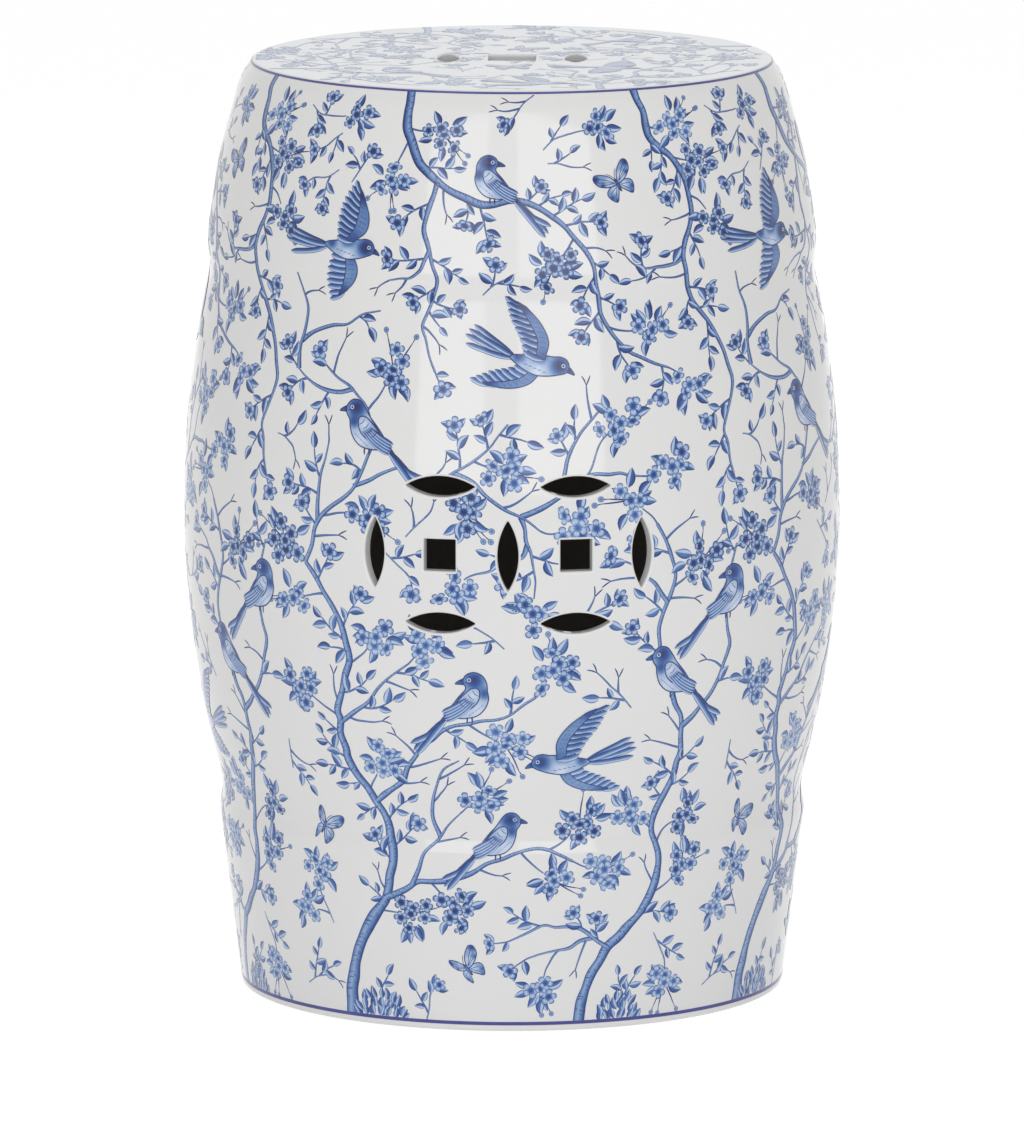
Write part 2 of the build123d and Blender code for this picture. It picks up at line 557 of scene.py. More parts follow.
@dataclass
class Barrel:
    """The stool's outer form, from the floor to the flat of the seat."""

    wall: float = 7.5
    foot_radius: float = 136.6
    foot_edge: float = 2.0
    foot_side_top: Pair = (147.4, 88.0)
    foot_ring: Pair = (10.0, 8.0)
    foot_taper: float = 18.0
    lower_groove_radius: float = 146.1
    lower_groove_rise: float = 1.85
    upper_groove_radius: float = 151.9
    upper_groove_rise: float = 2.0
    groove_reach: float = 12.0
    belly_height: float = 243.0
    shoulder_crest_height: float = 380.5
    shoulder_spring: Pair = (152.3, 388.0)
    shoulder_bulge: float = 1.7
    rim_line_radius: float = 130.6
    rim_line_drop: float = 0.9
    seat_flat_radius: float = 128.8
    seam_flow: Pair = (2.0, 9.0)
    flow_turns: Pair = (50.0, 100.0)
    flow_starts: Pair = (40.0, 70.0)
    flow_ends: Pair = (40.0, 15.0)
    sections: dict[str, Outline] = field(default_factory=dict)

    def __post_init__(self) -> None:
        """Reads the seams from the frame and draws each section's outline."""
        boxes = {name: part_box(name) for name in ("foot_section", "belly_section", "shoulder_section")}
        seams = [box[1].z / METRES for box in boxes.values()]
        self.lower_seam, self.upper_seam, self.seat_underside = seams
        self.belly_radius = boxes["belly_section"][1].x / METRES
        self.shoulder_crest = boxes["shoulder_section"][1].x / METRES
        seat_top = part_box("seat_slab")[1]
        self.height = seat_top.z / METRES
        self.seat_edge = seat_top.x / METRES
        shoulder = self._shoulder()
        seat = self._seat_edge(shoulder[-1] - shoulder[-2])
        self.sections = {
            "foot_section": Outline.through(self._foot(), OUTWARD, UPWARD),
            "belly_section": Outline.through(self._belly(), UPWARD, UPWARD),
            "shoulder_section": Outline.through(shoulder, UPWARD, None),
            "seat_slab": Outline.through(seat, None, INWARD),
        }
        self._soften_seams()

    def _foot(self) -> Array:
        """Outline of the foot section, from under its softened edge up to the lower seam.

        Returns:
            Its points.
        """
        floor, top = np.array([self.foot_radius, 0.0]), np.array(self.foot_side_top)
        side = (top - floor) / np.linalg.norm(top - floor)
        corner = math.pi / 2 + math.asin(side[0])
        set_back = self.foot_edge / math.tan(corner / 2)
        bulge = self.foot_edge * (1 - math.cos((math.pi - corner) / 2))
        edge = arc(floor - (set_back, 0.0), floor + side * set_back, bulge, 6)
        line = np.linspace(edge[-1], top, 30)
        seam = (self.lower_groove_radius, self.lower_seam)
        crest = blend_curve(top, seam, (side, UPWARD), 12)
        return np.concatenate([edge, line[1:], crest[1:]])

    def _half_belly(self, seam_radius: float, seam: float, rise: float) -> Array:
        """Outline from a seam to the belly's widest ring.

        Args:
            seam_radius: Radius at the seam.
            seam: The seam's height.
            rise: How much the wall widens in the groove over the seam.

        Returns:
            Its points.
        """
        up = math.copysign(1.0, self.belly_height - seam)
        end = np.array([seam_radius + rise, seam + up * self.groove_reach])
        widest = np.array([self.belly_radius, self.belly_height])
        across, along = np.abs(widest - end)
        radius = (across**2 + along**2) / (2 * across)
        bulge = radius - math.sqrt(radius**2 - (across**2 + along**2) / 4)
        curve = arc(end, widest, bulge * up, 42) if up > 0 else arc(widest, end, bulge, 36)[::-1]
        into = blend_curve((seam_radius, seam), end, ((0.0, up), curve[1] - curve[0]), 12)
        return np.concatenate([into, curve[1:]])

    def _belly(self) -> Array:
        """Outline of the belly section, from the lower seam to the upper one."""
        lower = self._half_belly(self.lower_groove_radius, self.lower_seam, self.lower_groove_rise)
        upper = self._half_belly(self.upper_groove_radius, self.upper_seam, self.upper_groove_rise)
        return np.concatenate([lower, upper[-2::-1]])

    def _shoulder(self) -> Array:
        """Outline of the shoulder section, from the upper seam to the seat's underside.

        Returns:
            Its points.
        """
        seam = (self.upper_groove_radius, self.upper_seam)
        crest = (self.shoulder_crest, self.shoulder_crest_height)
        side = arc(self.shoulder_spring, (self.seat_edge, self.seat_underside), self.shoulder_bulge, 26)
        swell = blend_curve(seam, crest, (UPWARD, UPWARD), 10)
        spring = blend_curve(crest, self.shoulder_spring, (UPWARD, side[1] - side[0]), 7)
        return np.concatenate([swell, spring[1:], side[1:]])

    def _seat_edge(self, arrive: Array) -> Array:
        """Outline of the seat's rounded edge, from the underside to the flat.

        Args:
            arrive: Direction in which the shoulder reaches it.

        Returns:
            Its points.
        """
        rim = (self.rim_line_radius, self.height - self.rim_line_drop)
        flat = (self.seat_flat_radius, self.height)
        corner = (self.seat_edge, self.seat_underside)
        lean = np.array(flat) - corner
        round_ = blend_curve(corner, rim, (arrive, lean), 12)
        return np.concatenate([round_, blend_curve(rim, flat, (lean, INWARD), 6)[1:]])

    def whole(self) -> tuple[Array, Array]:
        """Points and normals of the whole outline, from the floor up."""
        sections = self.sections.values()
        return np.concatenate([s.points for s in sections]), np.concatenate([s.normals for s in sections])

    def _soften_seams(self) -> None:
        """Lets the glaze flow over the seams: evens out the normals along the wall, not at its ends."""
        points, normals = self.whole()
        heights, along = points[:, 1], distances(points)
        turns = (self.lower_seam + self.flow_turns[0], self.upper_seam - self.flow_turns[1])
        flow = np.interp(heights, turns, self.seam_flow)
        weights = np.exp(-0.5 * ((along[:, None] - along) / flow[:, None]) ** 2) * np.gradient(along)
        even = weights @ normals
        even /= np.linalg.norm(even, axis=1, keepdims=True)
        ends = [self.seat_underside - drop for drop in self.flow_ends]
        share = np.interp(heights, (*self.flow_starts, *ends), (0, 1, 1, 0))
        blended = normals + (even - normals) * share[:, None]
        blended /= np.linalg.norm(blended, axis=1, keepdims=True)
        for section in self.sections.values():
            section.normals, blended = np.split(blended, [len(section.points)])

    def foot_inside(self) -> Array:
        """Inside of the foot from the floor up: a thick ring that thins to the wall.

        Returns:
            Its points.
        """
        width, height = self.foot_ring
        ring = self.foot_radius - width
        outer = self.sections["foot_section"].points
        taper_top = height + self.foot_taper
        above = outer[outer[:, 1] > taper_top] - (self.wall, 0.0)
        ring_side = [(ring + 0.6, 0.0), (ring, 0.6), (ring, height - 1.0), (ring + 0.3, height + 0.8)]
        return np.concatenate([ring_side, np.linspace(ring_side[-1], above[0], 8)[1:-1], above])


# ---- Clay sections ----


class Skin:
    """A mesh in the making: points with their normals, and the faces between them."""

    def __init__(self) -> None:
        """Starts empty."""
        self.points: list[Array] = []
        self.normals: list[Array] = []
        self.faces: list[Array] = []
        self.count = 0

    def add(self, points: Array, normals: Array) -> Array:
        """Adds points.

        Args:
            points: Places, in any number of rows.
            normals: One normal for each point.

        Returns:
            The points' numbers, in the same rows.
        """
        numbers = self.count + np.arange(points[..., 0].size).reshape(points.shape[:-1])
        self.points.append(points.reshape(-1, 3))
        self.normals.append(np.broadcast_to(normals, points.shape).reshape(-1, 3))
        self.count += numbers.size
        return numbers

    def bridge(self, lower: Array, upper: Array) -> None:
        """Joins two closed rings of as many points with faces."""
        self.faces.append(np.stack([lower, np.roll(lower, -1), np.roll(upper, -1), upper], 1))

    def chain(self, rings: Sequence[Array]) -> None:
        """Joins each ring to the next one with faces."""
        for lower, upper in zip(rings, rings[1:]):
            self.bridge(lower, upper)

    def fill(
        self, numbers: Array, flat: Array, loops: Sequence, holes: Sequence[Array], facing: float
    ) -> None:
        """Fills a face with triangles between its points and leaves its holes open.

        Args:
            numbers: The points' numbers.
            flat: Their places, laid flat.
            loops: Edges to keep, as positions in these two.
            holes: Outline of each hole.
            facing: 1 for an outer face, -1 for an inner one.
        """
        triangles = triangulated(flat, loops)
        middles = flat[triangles].mean(1)
        solid = triangles[~np.any([inside(middles, hole) for hole in holes], axis=0)]
        self.faces.append(numbers[solid if facing > 0 else solid[:, ::-1]])

    def build(self, name: str, material: Material) -> Object:
        """Makes the Blender object.

        Args:
            name: Piece name.
            material: Its finish.

        Returns:
            The object, riding on the stool's one body.
        """
        faces = [face.tolist() for group in self.faces for face in group]
        return make_piece(name, np.concatenate(self.points), np.concatenate(self.normals), faces, material)


def make_piece(name: str, points: Array, normals: Array, faces: Sequence, material: Material) -> Object:
    """Makes a smooth mesh object that rides on the stool.

    Args:
        name: Piece name.
        points: Places in millimetres.
        normals: One normal for each point.
        faces: Point numbers of each face.
        material: Its finish, whose name is also its slot's.

    Returns:
        The object.
    """
    mesh = bpy.data.meshes.new(name)
    mesh.from_pydata((points * METRES).tolist(), [], faces)
    mesh.shade_smooth()
    mesh.normals_split_custom_set_from_vertices(normals.tolist())
    mesh.materials.append(material)
    piece = bpy.data.objects.new(name, mesh)
    bpy.context.scene.collection.objects.link(piece)
    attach(piece, "root")
    return piece


def turned(outline: Array, normals: Array) -> tuple[Array, Array]:
    """Turns an outline about the stool's axis.

    Args:
        outline: Radius and height of each point.
        normals: Outward and upward part of each normal.

    Returns:
        Places and normals, one row for each point of the outline.
    """
    level = np.column_stack([outward(TURNS), np.zeros(COLUMNS)])
    upright = np.array([0.0, 0.0, 1.0])
    places, facing = (
        pairs[:, 0, None, None] * level + pairs[:, 1, None, None] * upright
        for pairs in (outline, normals)
    )
    return places, facing


@dataclass(frozen=True)
class Opening:
    """Edge of a hole in its own plane: a core outline and the directions in which it is grown."""

    core: Array
    ways: Array
    softness: float = 0.45

    def grown(self, margin: float) -> Array:
        """Edge of the hole, `margin` millimetres outside its narrowest part."""
        return self.core + self.ways * (self.softness + margin)

    @classmethod
    def lens(cls, length: float, width: float, upright: bool = False) -> "Opening":
        """Pointed oval between two equal arcs.

        Args:
            length: Its length.
            width: Its width.
            upright: Whether its long axis stands upright.

        Returns:
            Its edge.
        """
        half, rise = length / 2 - 1.5 * cls.softness, width / 2 - cls.softness
        low = arc((-half, 0.0), (half, 0.0), rise, 18)
        radius = (half**2 + rise**2) / (2 * rise)
        ways = (low - (0.0, radius - rise)) / radius
        tip_turn = math.degrees(math.acos(ways[-1, 0]))
        tip = unit_turns(np.linspace(-tip_turn, tip_turn, 5)[1:-1])
        end = np.tile((half, 0.0), (len(tip), 1))
        core = np.concatenate([low, end, -low, -end])
        ways = np.concatenate([ways, tip, -ways, -tip])
        if upright:
            core, ways = core[:, ::-1] * (-1, 1), ways[:, ::-1] * (-1, 1)
        return cls(core, ways)

    @classmethod
    def square(cls, side: float) -> "Opening":
        """Square with softened corners.

        Args:
            side: Its side.

        Returns:
            Its edge.
        """
        half = side / 2 - cls.softness
        corner = unit_turns(np.linspace(-180.0, -90.0, 7)[:-1])
        along = np.linspace(-half, half, 9)[:-1]
        side_line = np.stack([along, np.full(len(along), -half)], 1)
        core = np.concatenate([np.full((len(corner), 2), -half), side_line])
        ways = np.concatenate([corner, np.tile((0.0, -1.0), (len(along), 1))])
        quarter = np.array([[0.0, 1.0], [-1.0, 0.0]])
        quarters = [np.linalg.matrix_power(quarter, count) for count in range(4)]
        core, ways = (np.concatenate([side @ quarter for quarter in quarters]) for side in (core, ways))
        return cls(core, ways)


@dataclass
class CoinPiercings:
    """The pair of pierced coins, front and back: squares between lenses, sharing the middle lens."""

    height: float = 244.0
    radius: float = 34.0
    lens_length: float = 35.0
    lens_width: float = 10.3
    square: float = 15.8
    sides: Pair = (0.0, 180.0)

    def openings(self, belly_radius: float) -> list[tuple[float, float, Opening]]:
        """Lists the openings.

        Args:
            belly_radius: Radius of the wall's outside at the coins.

        Returns:
            For each opening, the turn and height of its middle, and its edge.
        """
        half_pitch = math.degrees(self.radius / belly_radius)
        upright = Opening.lens(self.lens_length, self.lens_width, upright=True)
        flat = Opening.lens(self.lens_length, self.lens_width)
        square = Opening.square(self.square)
        found = []
        for side in self.sides:
            found += [(side + 2 * step * half_pitch, self.height, upright) for step in (-1, 0, 1)]
            for coin in (side - half_pitch, side + half_pitch):
                found.append((coin, self.height, square))
                found += [(coin, self.height + rise, flat) for rise in (-self.radius, self.radius)]
        return found


@dataclass
class BarrelWall:
    """The foot, belly and shoulder sections: turned walls, the belly pierced by the coins."""

    barrel: Barrel
    glaze: Material
    clay: Material
    coins: CoinPiercings = field(default_factory=CoinPiercings)
    edge_rounding: float = 1.2
    outer_phases: tuple[float, ...] = (0.33, 0.67, 1.0)
    inner_phases: tuple[float, ...] = (1.0, 0.5)
    pierced_turn: int = 30
    pierced_rise: float = 48.0
    clearance: float = 1.12
    inward_share: float = 0.9

    def build(self) -> list[Object]:
        """Builds the three sections in the place of their CAD nodes."""
        return [self._plain("foot_section"), self._belly(), self._plain("shoulder_section")]

    def _dress(self, skin: Skin, name: str) -> Object:
        """Makes a section of a skin, with bare clay wherever it faces the stool's axis.

        Args:
            skin: The section's mesh.
            name: CAD node that it replaces.

        Returns:
            The piece.
        """
        piece = skin.build(name + "_glazed", self.glaze)
        mesh = piece.data
        mesh.materials.append(self.clay)
        middles, facing = np.empty((2, len(mesh.polygons) * 3))
        mesh.polygons.foreach_get("center", middles)
        mesh.polygons.foreach_get("normal", facing)
        middles, facing = (values.reshape(-1, 3)[:, :2] for values in (middles, facing))
        inward = (middles * facing).sum(1) < -self.inward_share * np.hypot(*middles.T)
        mesh.polygons.foreach_set("material_index", inward.astype(np.int32))
        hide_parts(name)
        return piece

    def _plain(self, name: str) -> Object:
        """Builds the foot or the shoulder, which have no openings.

        Args:
            name: Name of the section.

        Returns:
            The piece.
        """
        outline = self.barrel.sections[name]
        inner = outline.points - (self.barrel.wall, 0.0)
        inner_normals = -outline.normals
        if name == "foot_section":
            inner = self.barrel.foot_inside()
            inner_normals = left_of(ways_along(inner))
        skin = Skin()
        outside = skin.add(*turned(outline.points, outline.normals))
        within = skin.add(*turned(inner, inner_normals))
        skin.chain([*outside, *within[::-1], outside[0]])
        return self._dress(skin, name)

    def _belly(self) -> Object:
        """Builds the belly section, with the coins cut through it front and back.

        Returns:
            The piece.
        """
        outline = self.barrel.sections["belly_section"]
        openings = self.coins.openings(self.barrel.belly_radius)
        pierced = np.abs(outline.points[:, 1] - self.coins.height) <= self.pierced_rise
        patches = [self._pierced_columns(side) for side in self.coins.sides]
        whole = np.ones(COLUMNS, bool)
        whole[np.concatenate([patch[:-1] for patch in patches])] = False
        skin = Skin()
        grids, rims = [], []
        for depth, facing in ((0.0, 1.0), (self.barrel.wall, -1.0)):
            points = outline.points - (depth, 0.0)
            grid = skin.add(*turned(points, facing * outline.normals))
            for row in range(len(grid) - 1):
                skin.bridge(*grid[row : row + 2][:: int(facing)])
                if pierced[row] and pierced[row + 1]:
                    skin.faces[-1] = skin.faces[-1][whole]
            edges = [self._edge_ring(skin, opening, 0.0, depth, facing) for opening in openings]
            for patch, side in zip(patches, self.coins.sides):
                near = [edge for edge, (turn, _, _) in zip(edges, openings) if abs(turn - side) < 90]
                self._fill_patch(skin, grid[pierced][:, patch], points[pierced, 1], patch, near, facing)
            grids.append(grid)
            rims.append([ring for ring, _ in edges])
        outer, inner = grids
        skin.bridge(outer[-1], inner[-1])
        skin.bridge(inner[0], outer[0])
        for opening, outer_rim, inner_rim in zip(openings, *rims):
            self._hole_wall(skin, opening, outer_rim, inner_rim)
        return self._dress(skin, "belly_section")

    def _pierced_columns(self, side: float) -> Array:
        """Columns of the patch round the coins on one side."""
        middle = round(side * COLUMNS / 360)
        return np.arange(middle - self.pierced_turn, middle + self.pierced_turn + 1) % COLUMNS

    def _edge_ring(
        self, skin: Skin, opening: tuple, phase: float, depth: float, facing: float
    ) -> tuple[Array, Array]:
        """Adds one ring of an opening's rounded edge.

        Args:
            skin: Mesh to add to.
            opening: Turn and height of its middle, and its edge.
            phase: Quarter turn from the wall's face, at 0, to the hole's side, at 1.
            depth: Distance of the face from the wall's outside.
            facing: 1 for the outer face, -1 for the inner one.

        Returns:
            The ring's point numbers, and their places as turn times belly radius, and height.
        """
        turn, height, edge = opening
        angle = phase * math.pi / 2
        across, rise = edge.grown(self.edge_rounding * (1 - math.sin(angle))).T
        z = height + rise
        outline = self.barrel.sections["belly_section"]
        sunk = depth + facing * self.edge_rounding * (1 - math.cos(angle))
        radius = np.interp(z, outline.points[:, 1], outline.points[:, 0]) - sunk
        middle = math.radians(turn)
        at = middle + np.arcsin(across / radius)
        places = np.column_stack([radius[:, None] * outward(at), z])
        level, upright = read_off(z, outline.points[:, 1], outline.normals).T
        off_wall = np.column_stack([level[:, None] * outward(at), upright])
        tangent = np.append(way_at(middle), 0.0)
        into_hole = -edge.ways[:, :1] * tangent - edge.ways[:, 1:] * (0.0, 0.0, 1.0)
        normals = facing * math.cos(angle) * off_wall + math.sin(angle) * into_hole
        return skin.add(places, normals), np.stack([at * self.barrel.belly_radius, z], 1)

    def _fill_patch(
        self, skin: Skin, grid: Array, heights: Array, patch: Array, edges: list, facing: float
    ) -> None:
        """Fills the patch round the coins with triangles between its grid and the holes' edges.

        Args:
            skin: Mesh to add to.
            grid: Point numbers of the wall's grid in the patch.
            heights: Height of each of its rows.
            patch: Column of each of its columns.
            edges: Point numbers and flat places of each hole's edge.
            facing: 1 for the outer face, -1 for the inner one.
        """
        turns = np.unwrap(patch * 2 * math.pi / COLUMNS, period=2 * math.pi)
        turns = turns - 2 * math.pi * (turns.mean() > 1.5 * math.pi)
        flat = np.stack(np.meshgrid(turns * self.barrel.belly_radius, heights), -1)
        border = np.ones(grid.shape, bool)
        border[1:-1, 1:-1] = False
        rings, holes = zip(*edges)
        clear = ~border
        for hole in holes:
            clear[clear] &= ~inside(flat[clear], scaled(hole, self.clearance))
        round_grid = np.concatenate([grid[0], grid[1:, -1], grid[-1, -2::-1], grid[-2:0:-1, 0]])
        numbers = np.concatenate([grid[border], grid[clear], *rings])
        places = np.concatenate([flat[border], flat[clear], *holes])
        position = {int(number): index for index, number in enumerate(numbers)}
        loops = [[position[int(number)] for number in loop] for loop in (round_grid, *rings)]
        skin.fill(numbers, places, loops, holes, facing)

    def _hole_wall(self, skin: Skin, opening: tuple, outer: Array, inner: Array) -> None:
        """Joins an opening's outer edge to its inner one, round both edges and along the wall.

        Args:
            skin: Mesh to add to.
            opening: Turn and height of its middle, and its edge.
            outer: Ring of points where its edge meets the wall's outside.
            inner: The same on the wall's inside.
        """
        rings = [outer]
        faces = ((0.0, 1.0, self.outer_phases), (self.barrel.wall, -1.0, self.inner_phases))
        for depth, facing, phases in faces:
            rings += [self._edge_ring(skin, opening, phase, depth, facing)[0] for phase in phases]
        skin.chain([*rings, inner])


@dataclass
class Seat:
    """The seat slab with its rounded edge and three finger holes; its flat is painted a cooler, bluer white
    that stands in for a cool sheen of reflected light.
    """

    barrel: Barrel
    glaze: Material
    # Glaze painted a cooler, bluer white for the flat: a painted cool sheen of reflected light.
    pooled_ink_and_painted_sheen: Material
    square: float = 23.5
    lens_length: float = 37.0
    lens_width: float = 11.0
    lens_offset: float = 32.0
    edge_rounding: float = 1.3
    upper_phases: tuple[float, ...] = (0.25, 0.5, 0.75, 1.0)
    lower_phases: tuple[float, ...] = (1.0, 0.5)
    grid_step: float = 9.0
    clearance: float = 1.15
    # Reach and depth of the faces that take the painted cool sheen.
    sheen_radius: float = 130.6
    sheen_depth: float = 1.0

    def openings(self) -> list[tuple[float, Opening]]:
        """Lists the finger holes: place along X, and edge."""
        lens = Opening.lens(self.lens_length, self.lens_width, upright=True)
        return [(-self.lens_offset, lens), (0.0, Opening.square(self.square)), (self.lens_offset, lens)]

    def hole_edges(self) -> list[Array]:
        """Outlines of the finger holes where their edges meet the seat's faces."""
        return [(at, 0.0) + edge.grown(self.edge_rounding) for at, edge in self.openings()]

    def _face(self, skin: Skin, rim: Array, radius: float, height: float, facing: float) -> list[Array]:
        """Fills the top or the underside.

        Args:
            skin: Mesh to add to.
            rim: Point numbers of the face's rim.
            radius: The rim's radius.
            height: The face's height.
            facing: 1 for the top, -1 for the underside.

        Returns:
            Point numbers of each hole's edge.
        """
        edges = self.hole_edges()
        steps = np.arange(-radius, radius, self.grid_step)
        spots = np.stack(np.meshgrid(steps, steps), -1).reshape(-1, 2)
        clear = np.hypot(*spots.T) < radius - self.grid_step / 2
        for edge in edges:
            clear &= ~inside(spots, scaled(edge, self.clearance))
        groups = [radius * outward(TURNS), spots[clear], *edges]
        flat = np.concatenate(groups)
        added = np.column_stack([flat[COLUMNS:], np.full(len(flat) - COLUMNS, height)])
        numbers = np.concatenate([rim, skin.add(added, np.array([0.0, 0.0, facing]))])
        ends = np.cumsum([len(group) for group in groups])
        round_rim, _, *loops = np.split(np.arange(len(flat)), ends[:-1])
        skin.fill(numbers, flat, [round_rim, *loops], edges, facing)
        return [numbers[loop] for loop in loops]

    def _hole_wall(self, skin: Skin, opening: tuple[float, Opening], upper: Array, lower: Array) -> None:
        """Joins a finger hole's upper edge to its lower one, rounding both.

        Args:
            skin: Mesh to add to.
            opening: The hole's place along X, and its edge.
            upper: Ring of points where it meets the top.
            lower: The same at the underside.
        """
        at, edge = opening
        rings = [upper]
        top, bottom = self.barrel.height, self.barrel.seat_underside
        for face, facing, phases in ((top, 1.0, self.upper_phases), (bottom, -1.0, self.lower_phases)):
            for phase in phases:
                angle = phase * math.pi / 2
                flat = (at, 0.0) + edge.grown(self.edge_rounding * (1 - math.sin(angle)))
                z = face - facing * self.edge_rounding * (1 - math.cos(angle))
                level = -edge.ways * math.sin(angle)
                upward = np.full(len(flat), facing * math.cos(angle))
                places = np.column_stack([flat, np.full(len(flat), z)])
                rings.append(skin.add(places, np.column_stack([level, upward])))
        skin.chain([*rings, lower])

    def build(self) -> Object:
        """Builds the slab in the place of its CAD node.

        Returns:
            The piece.
        """
        outline = self.barrel.sections["seat_slab"]
        skin = Skin()
        edge = skin.add(*turned(outline.points, outline.normals))
        skin.chain(edge)
        underside, bearing = self.barrel.seat_underside, self.barrel.seat_edge - self.barrel.wall
        ledge = skin.add(*turned(np.array([[bearing, underside]]), np.array([[0.0, -1.0]])))
        skin.bridge(ledge[0], edge[0])
        upper = self._face(skin, edge[-1], self.barrel.seat_flat_radius, self.barrel.height, 1.0)
        lower = self._face(skin, ledge[0], bearing, underside, -1.0)
        for opening, upper_rim, lower_rim in zip(self.openings(), upper, lower):
            self._hole_wall(skin, opening, upper_rim, lower_rim)
        piece = skin.build("seat_slab_glazed", self.glaze)
        # Faces of the flat take the cooler white of the painted cool sheen.
        piece.data.materials.append(self.pooled_ink_and_painted_sheen)
        sheen_floor = self.barrel.height - self.sheen_depth
        for face in piece.data.polygons:
            x, y, z = (place / METRES for place in face.center)
            face.material_index = int(z > sheen_floor and math.hypot(x, y) < self.sheen_radius)
        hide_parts("seat_slab")
        return piece


@dataclass
class BandLines:
    """The two brushed lines: one on the seat's rim and one above the foot."""

    barrel: Barrel
    ink: Material
    lift: float = 0.09
    rows: int = 5
    rim_line: Pair = (131.0, 130.2)
    foot_line: Pair = (3.2, 5.0)

    def build(self) -> list[Object]:
        """Builds both lines.

        Returns:
            The pieces.
        """
        seat = self.barrel.sections["seat_slab"]
        foot = self.barrel.sections["foot_section"]
        wide, narrow = self.rim_line
        return [
            self._ring("rim_line", seat, -seat.points[:, 0], np.linspace(-wide, -narrow, self.rows)),
            self._ring("foot_line", foot, foot.points[:, 1], np.linspace(*self.foot_line, self.rows)),
        ]

    def _ring(self, name: str, outline: Outline, measure: Array, at: Array) -> Object:
        """Lays a band on an outline.

        Args:
            name: Piece name.
            outline: Outline that it follows.
            measure: What grows along that outline.
            at: Values of the measure for the band's rows.

        Returns:
            The band.
        """
        points, normals = (read_off(at, measure, pairs) for pairs in (outline.points, outline.normals))
        skin = Skin()
        skin.chain(skin.add(*turned(points + normals * self.lift, normals)))
        return skin.build(name, self.ink)


# ---- Drawing ----

# A strip's lanes: how far each runs from its middle line, from -1 to 1, and how much ink it holds.
TWIG_LANES = ((-1, 0.9), (-0.25, 0.6), (0.4, 0.5), (1, 0.9))
BRANCH_LANES = ((-1, 0.97), (-0.78, 0.84), (-0.4, 0.56), (0.25, 0.34), (0.7, 0.5), (1, 0.94))
LEAF_LANES = ((-1, 0.95), (-0.6, 0.78), (-0.08, 0.62), (0, 0.98), (0.12, 0.3), (0.62, 0.12), (1, 0.9))
FEATHER_LANES = ((-1, 0.98), (-0.6, 0.78), (0.1, 0.5), (0.66, 0.08), (1, 0.9))
EDGE_LANES = ((-1, 0.92), (1, 0.92))

# Widths of pen lines, and sizes at which motifs are drawn before they are stamped.
FINEST_PEN, FINE_PEN, BROAD_PEN = 0.35, 0.4, 0.8
LEAF_LENGTH, LEAF_WIDTH = 9.0, 4.5
BUD_RADIUS = 1.5


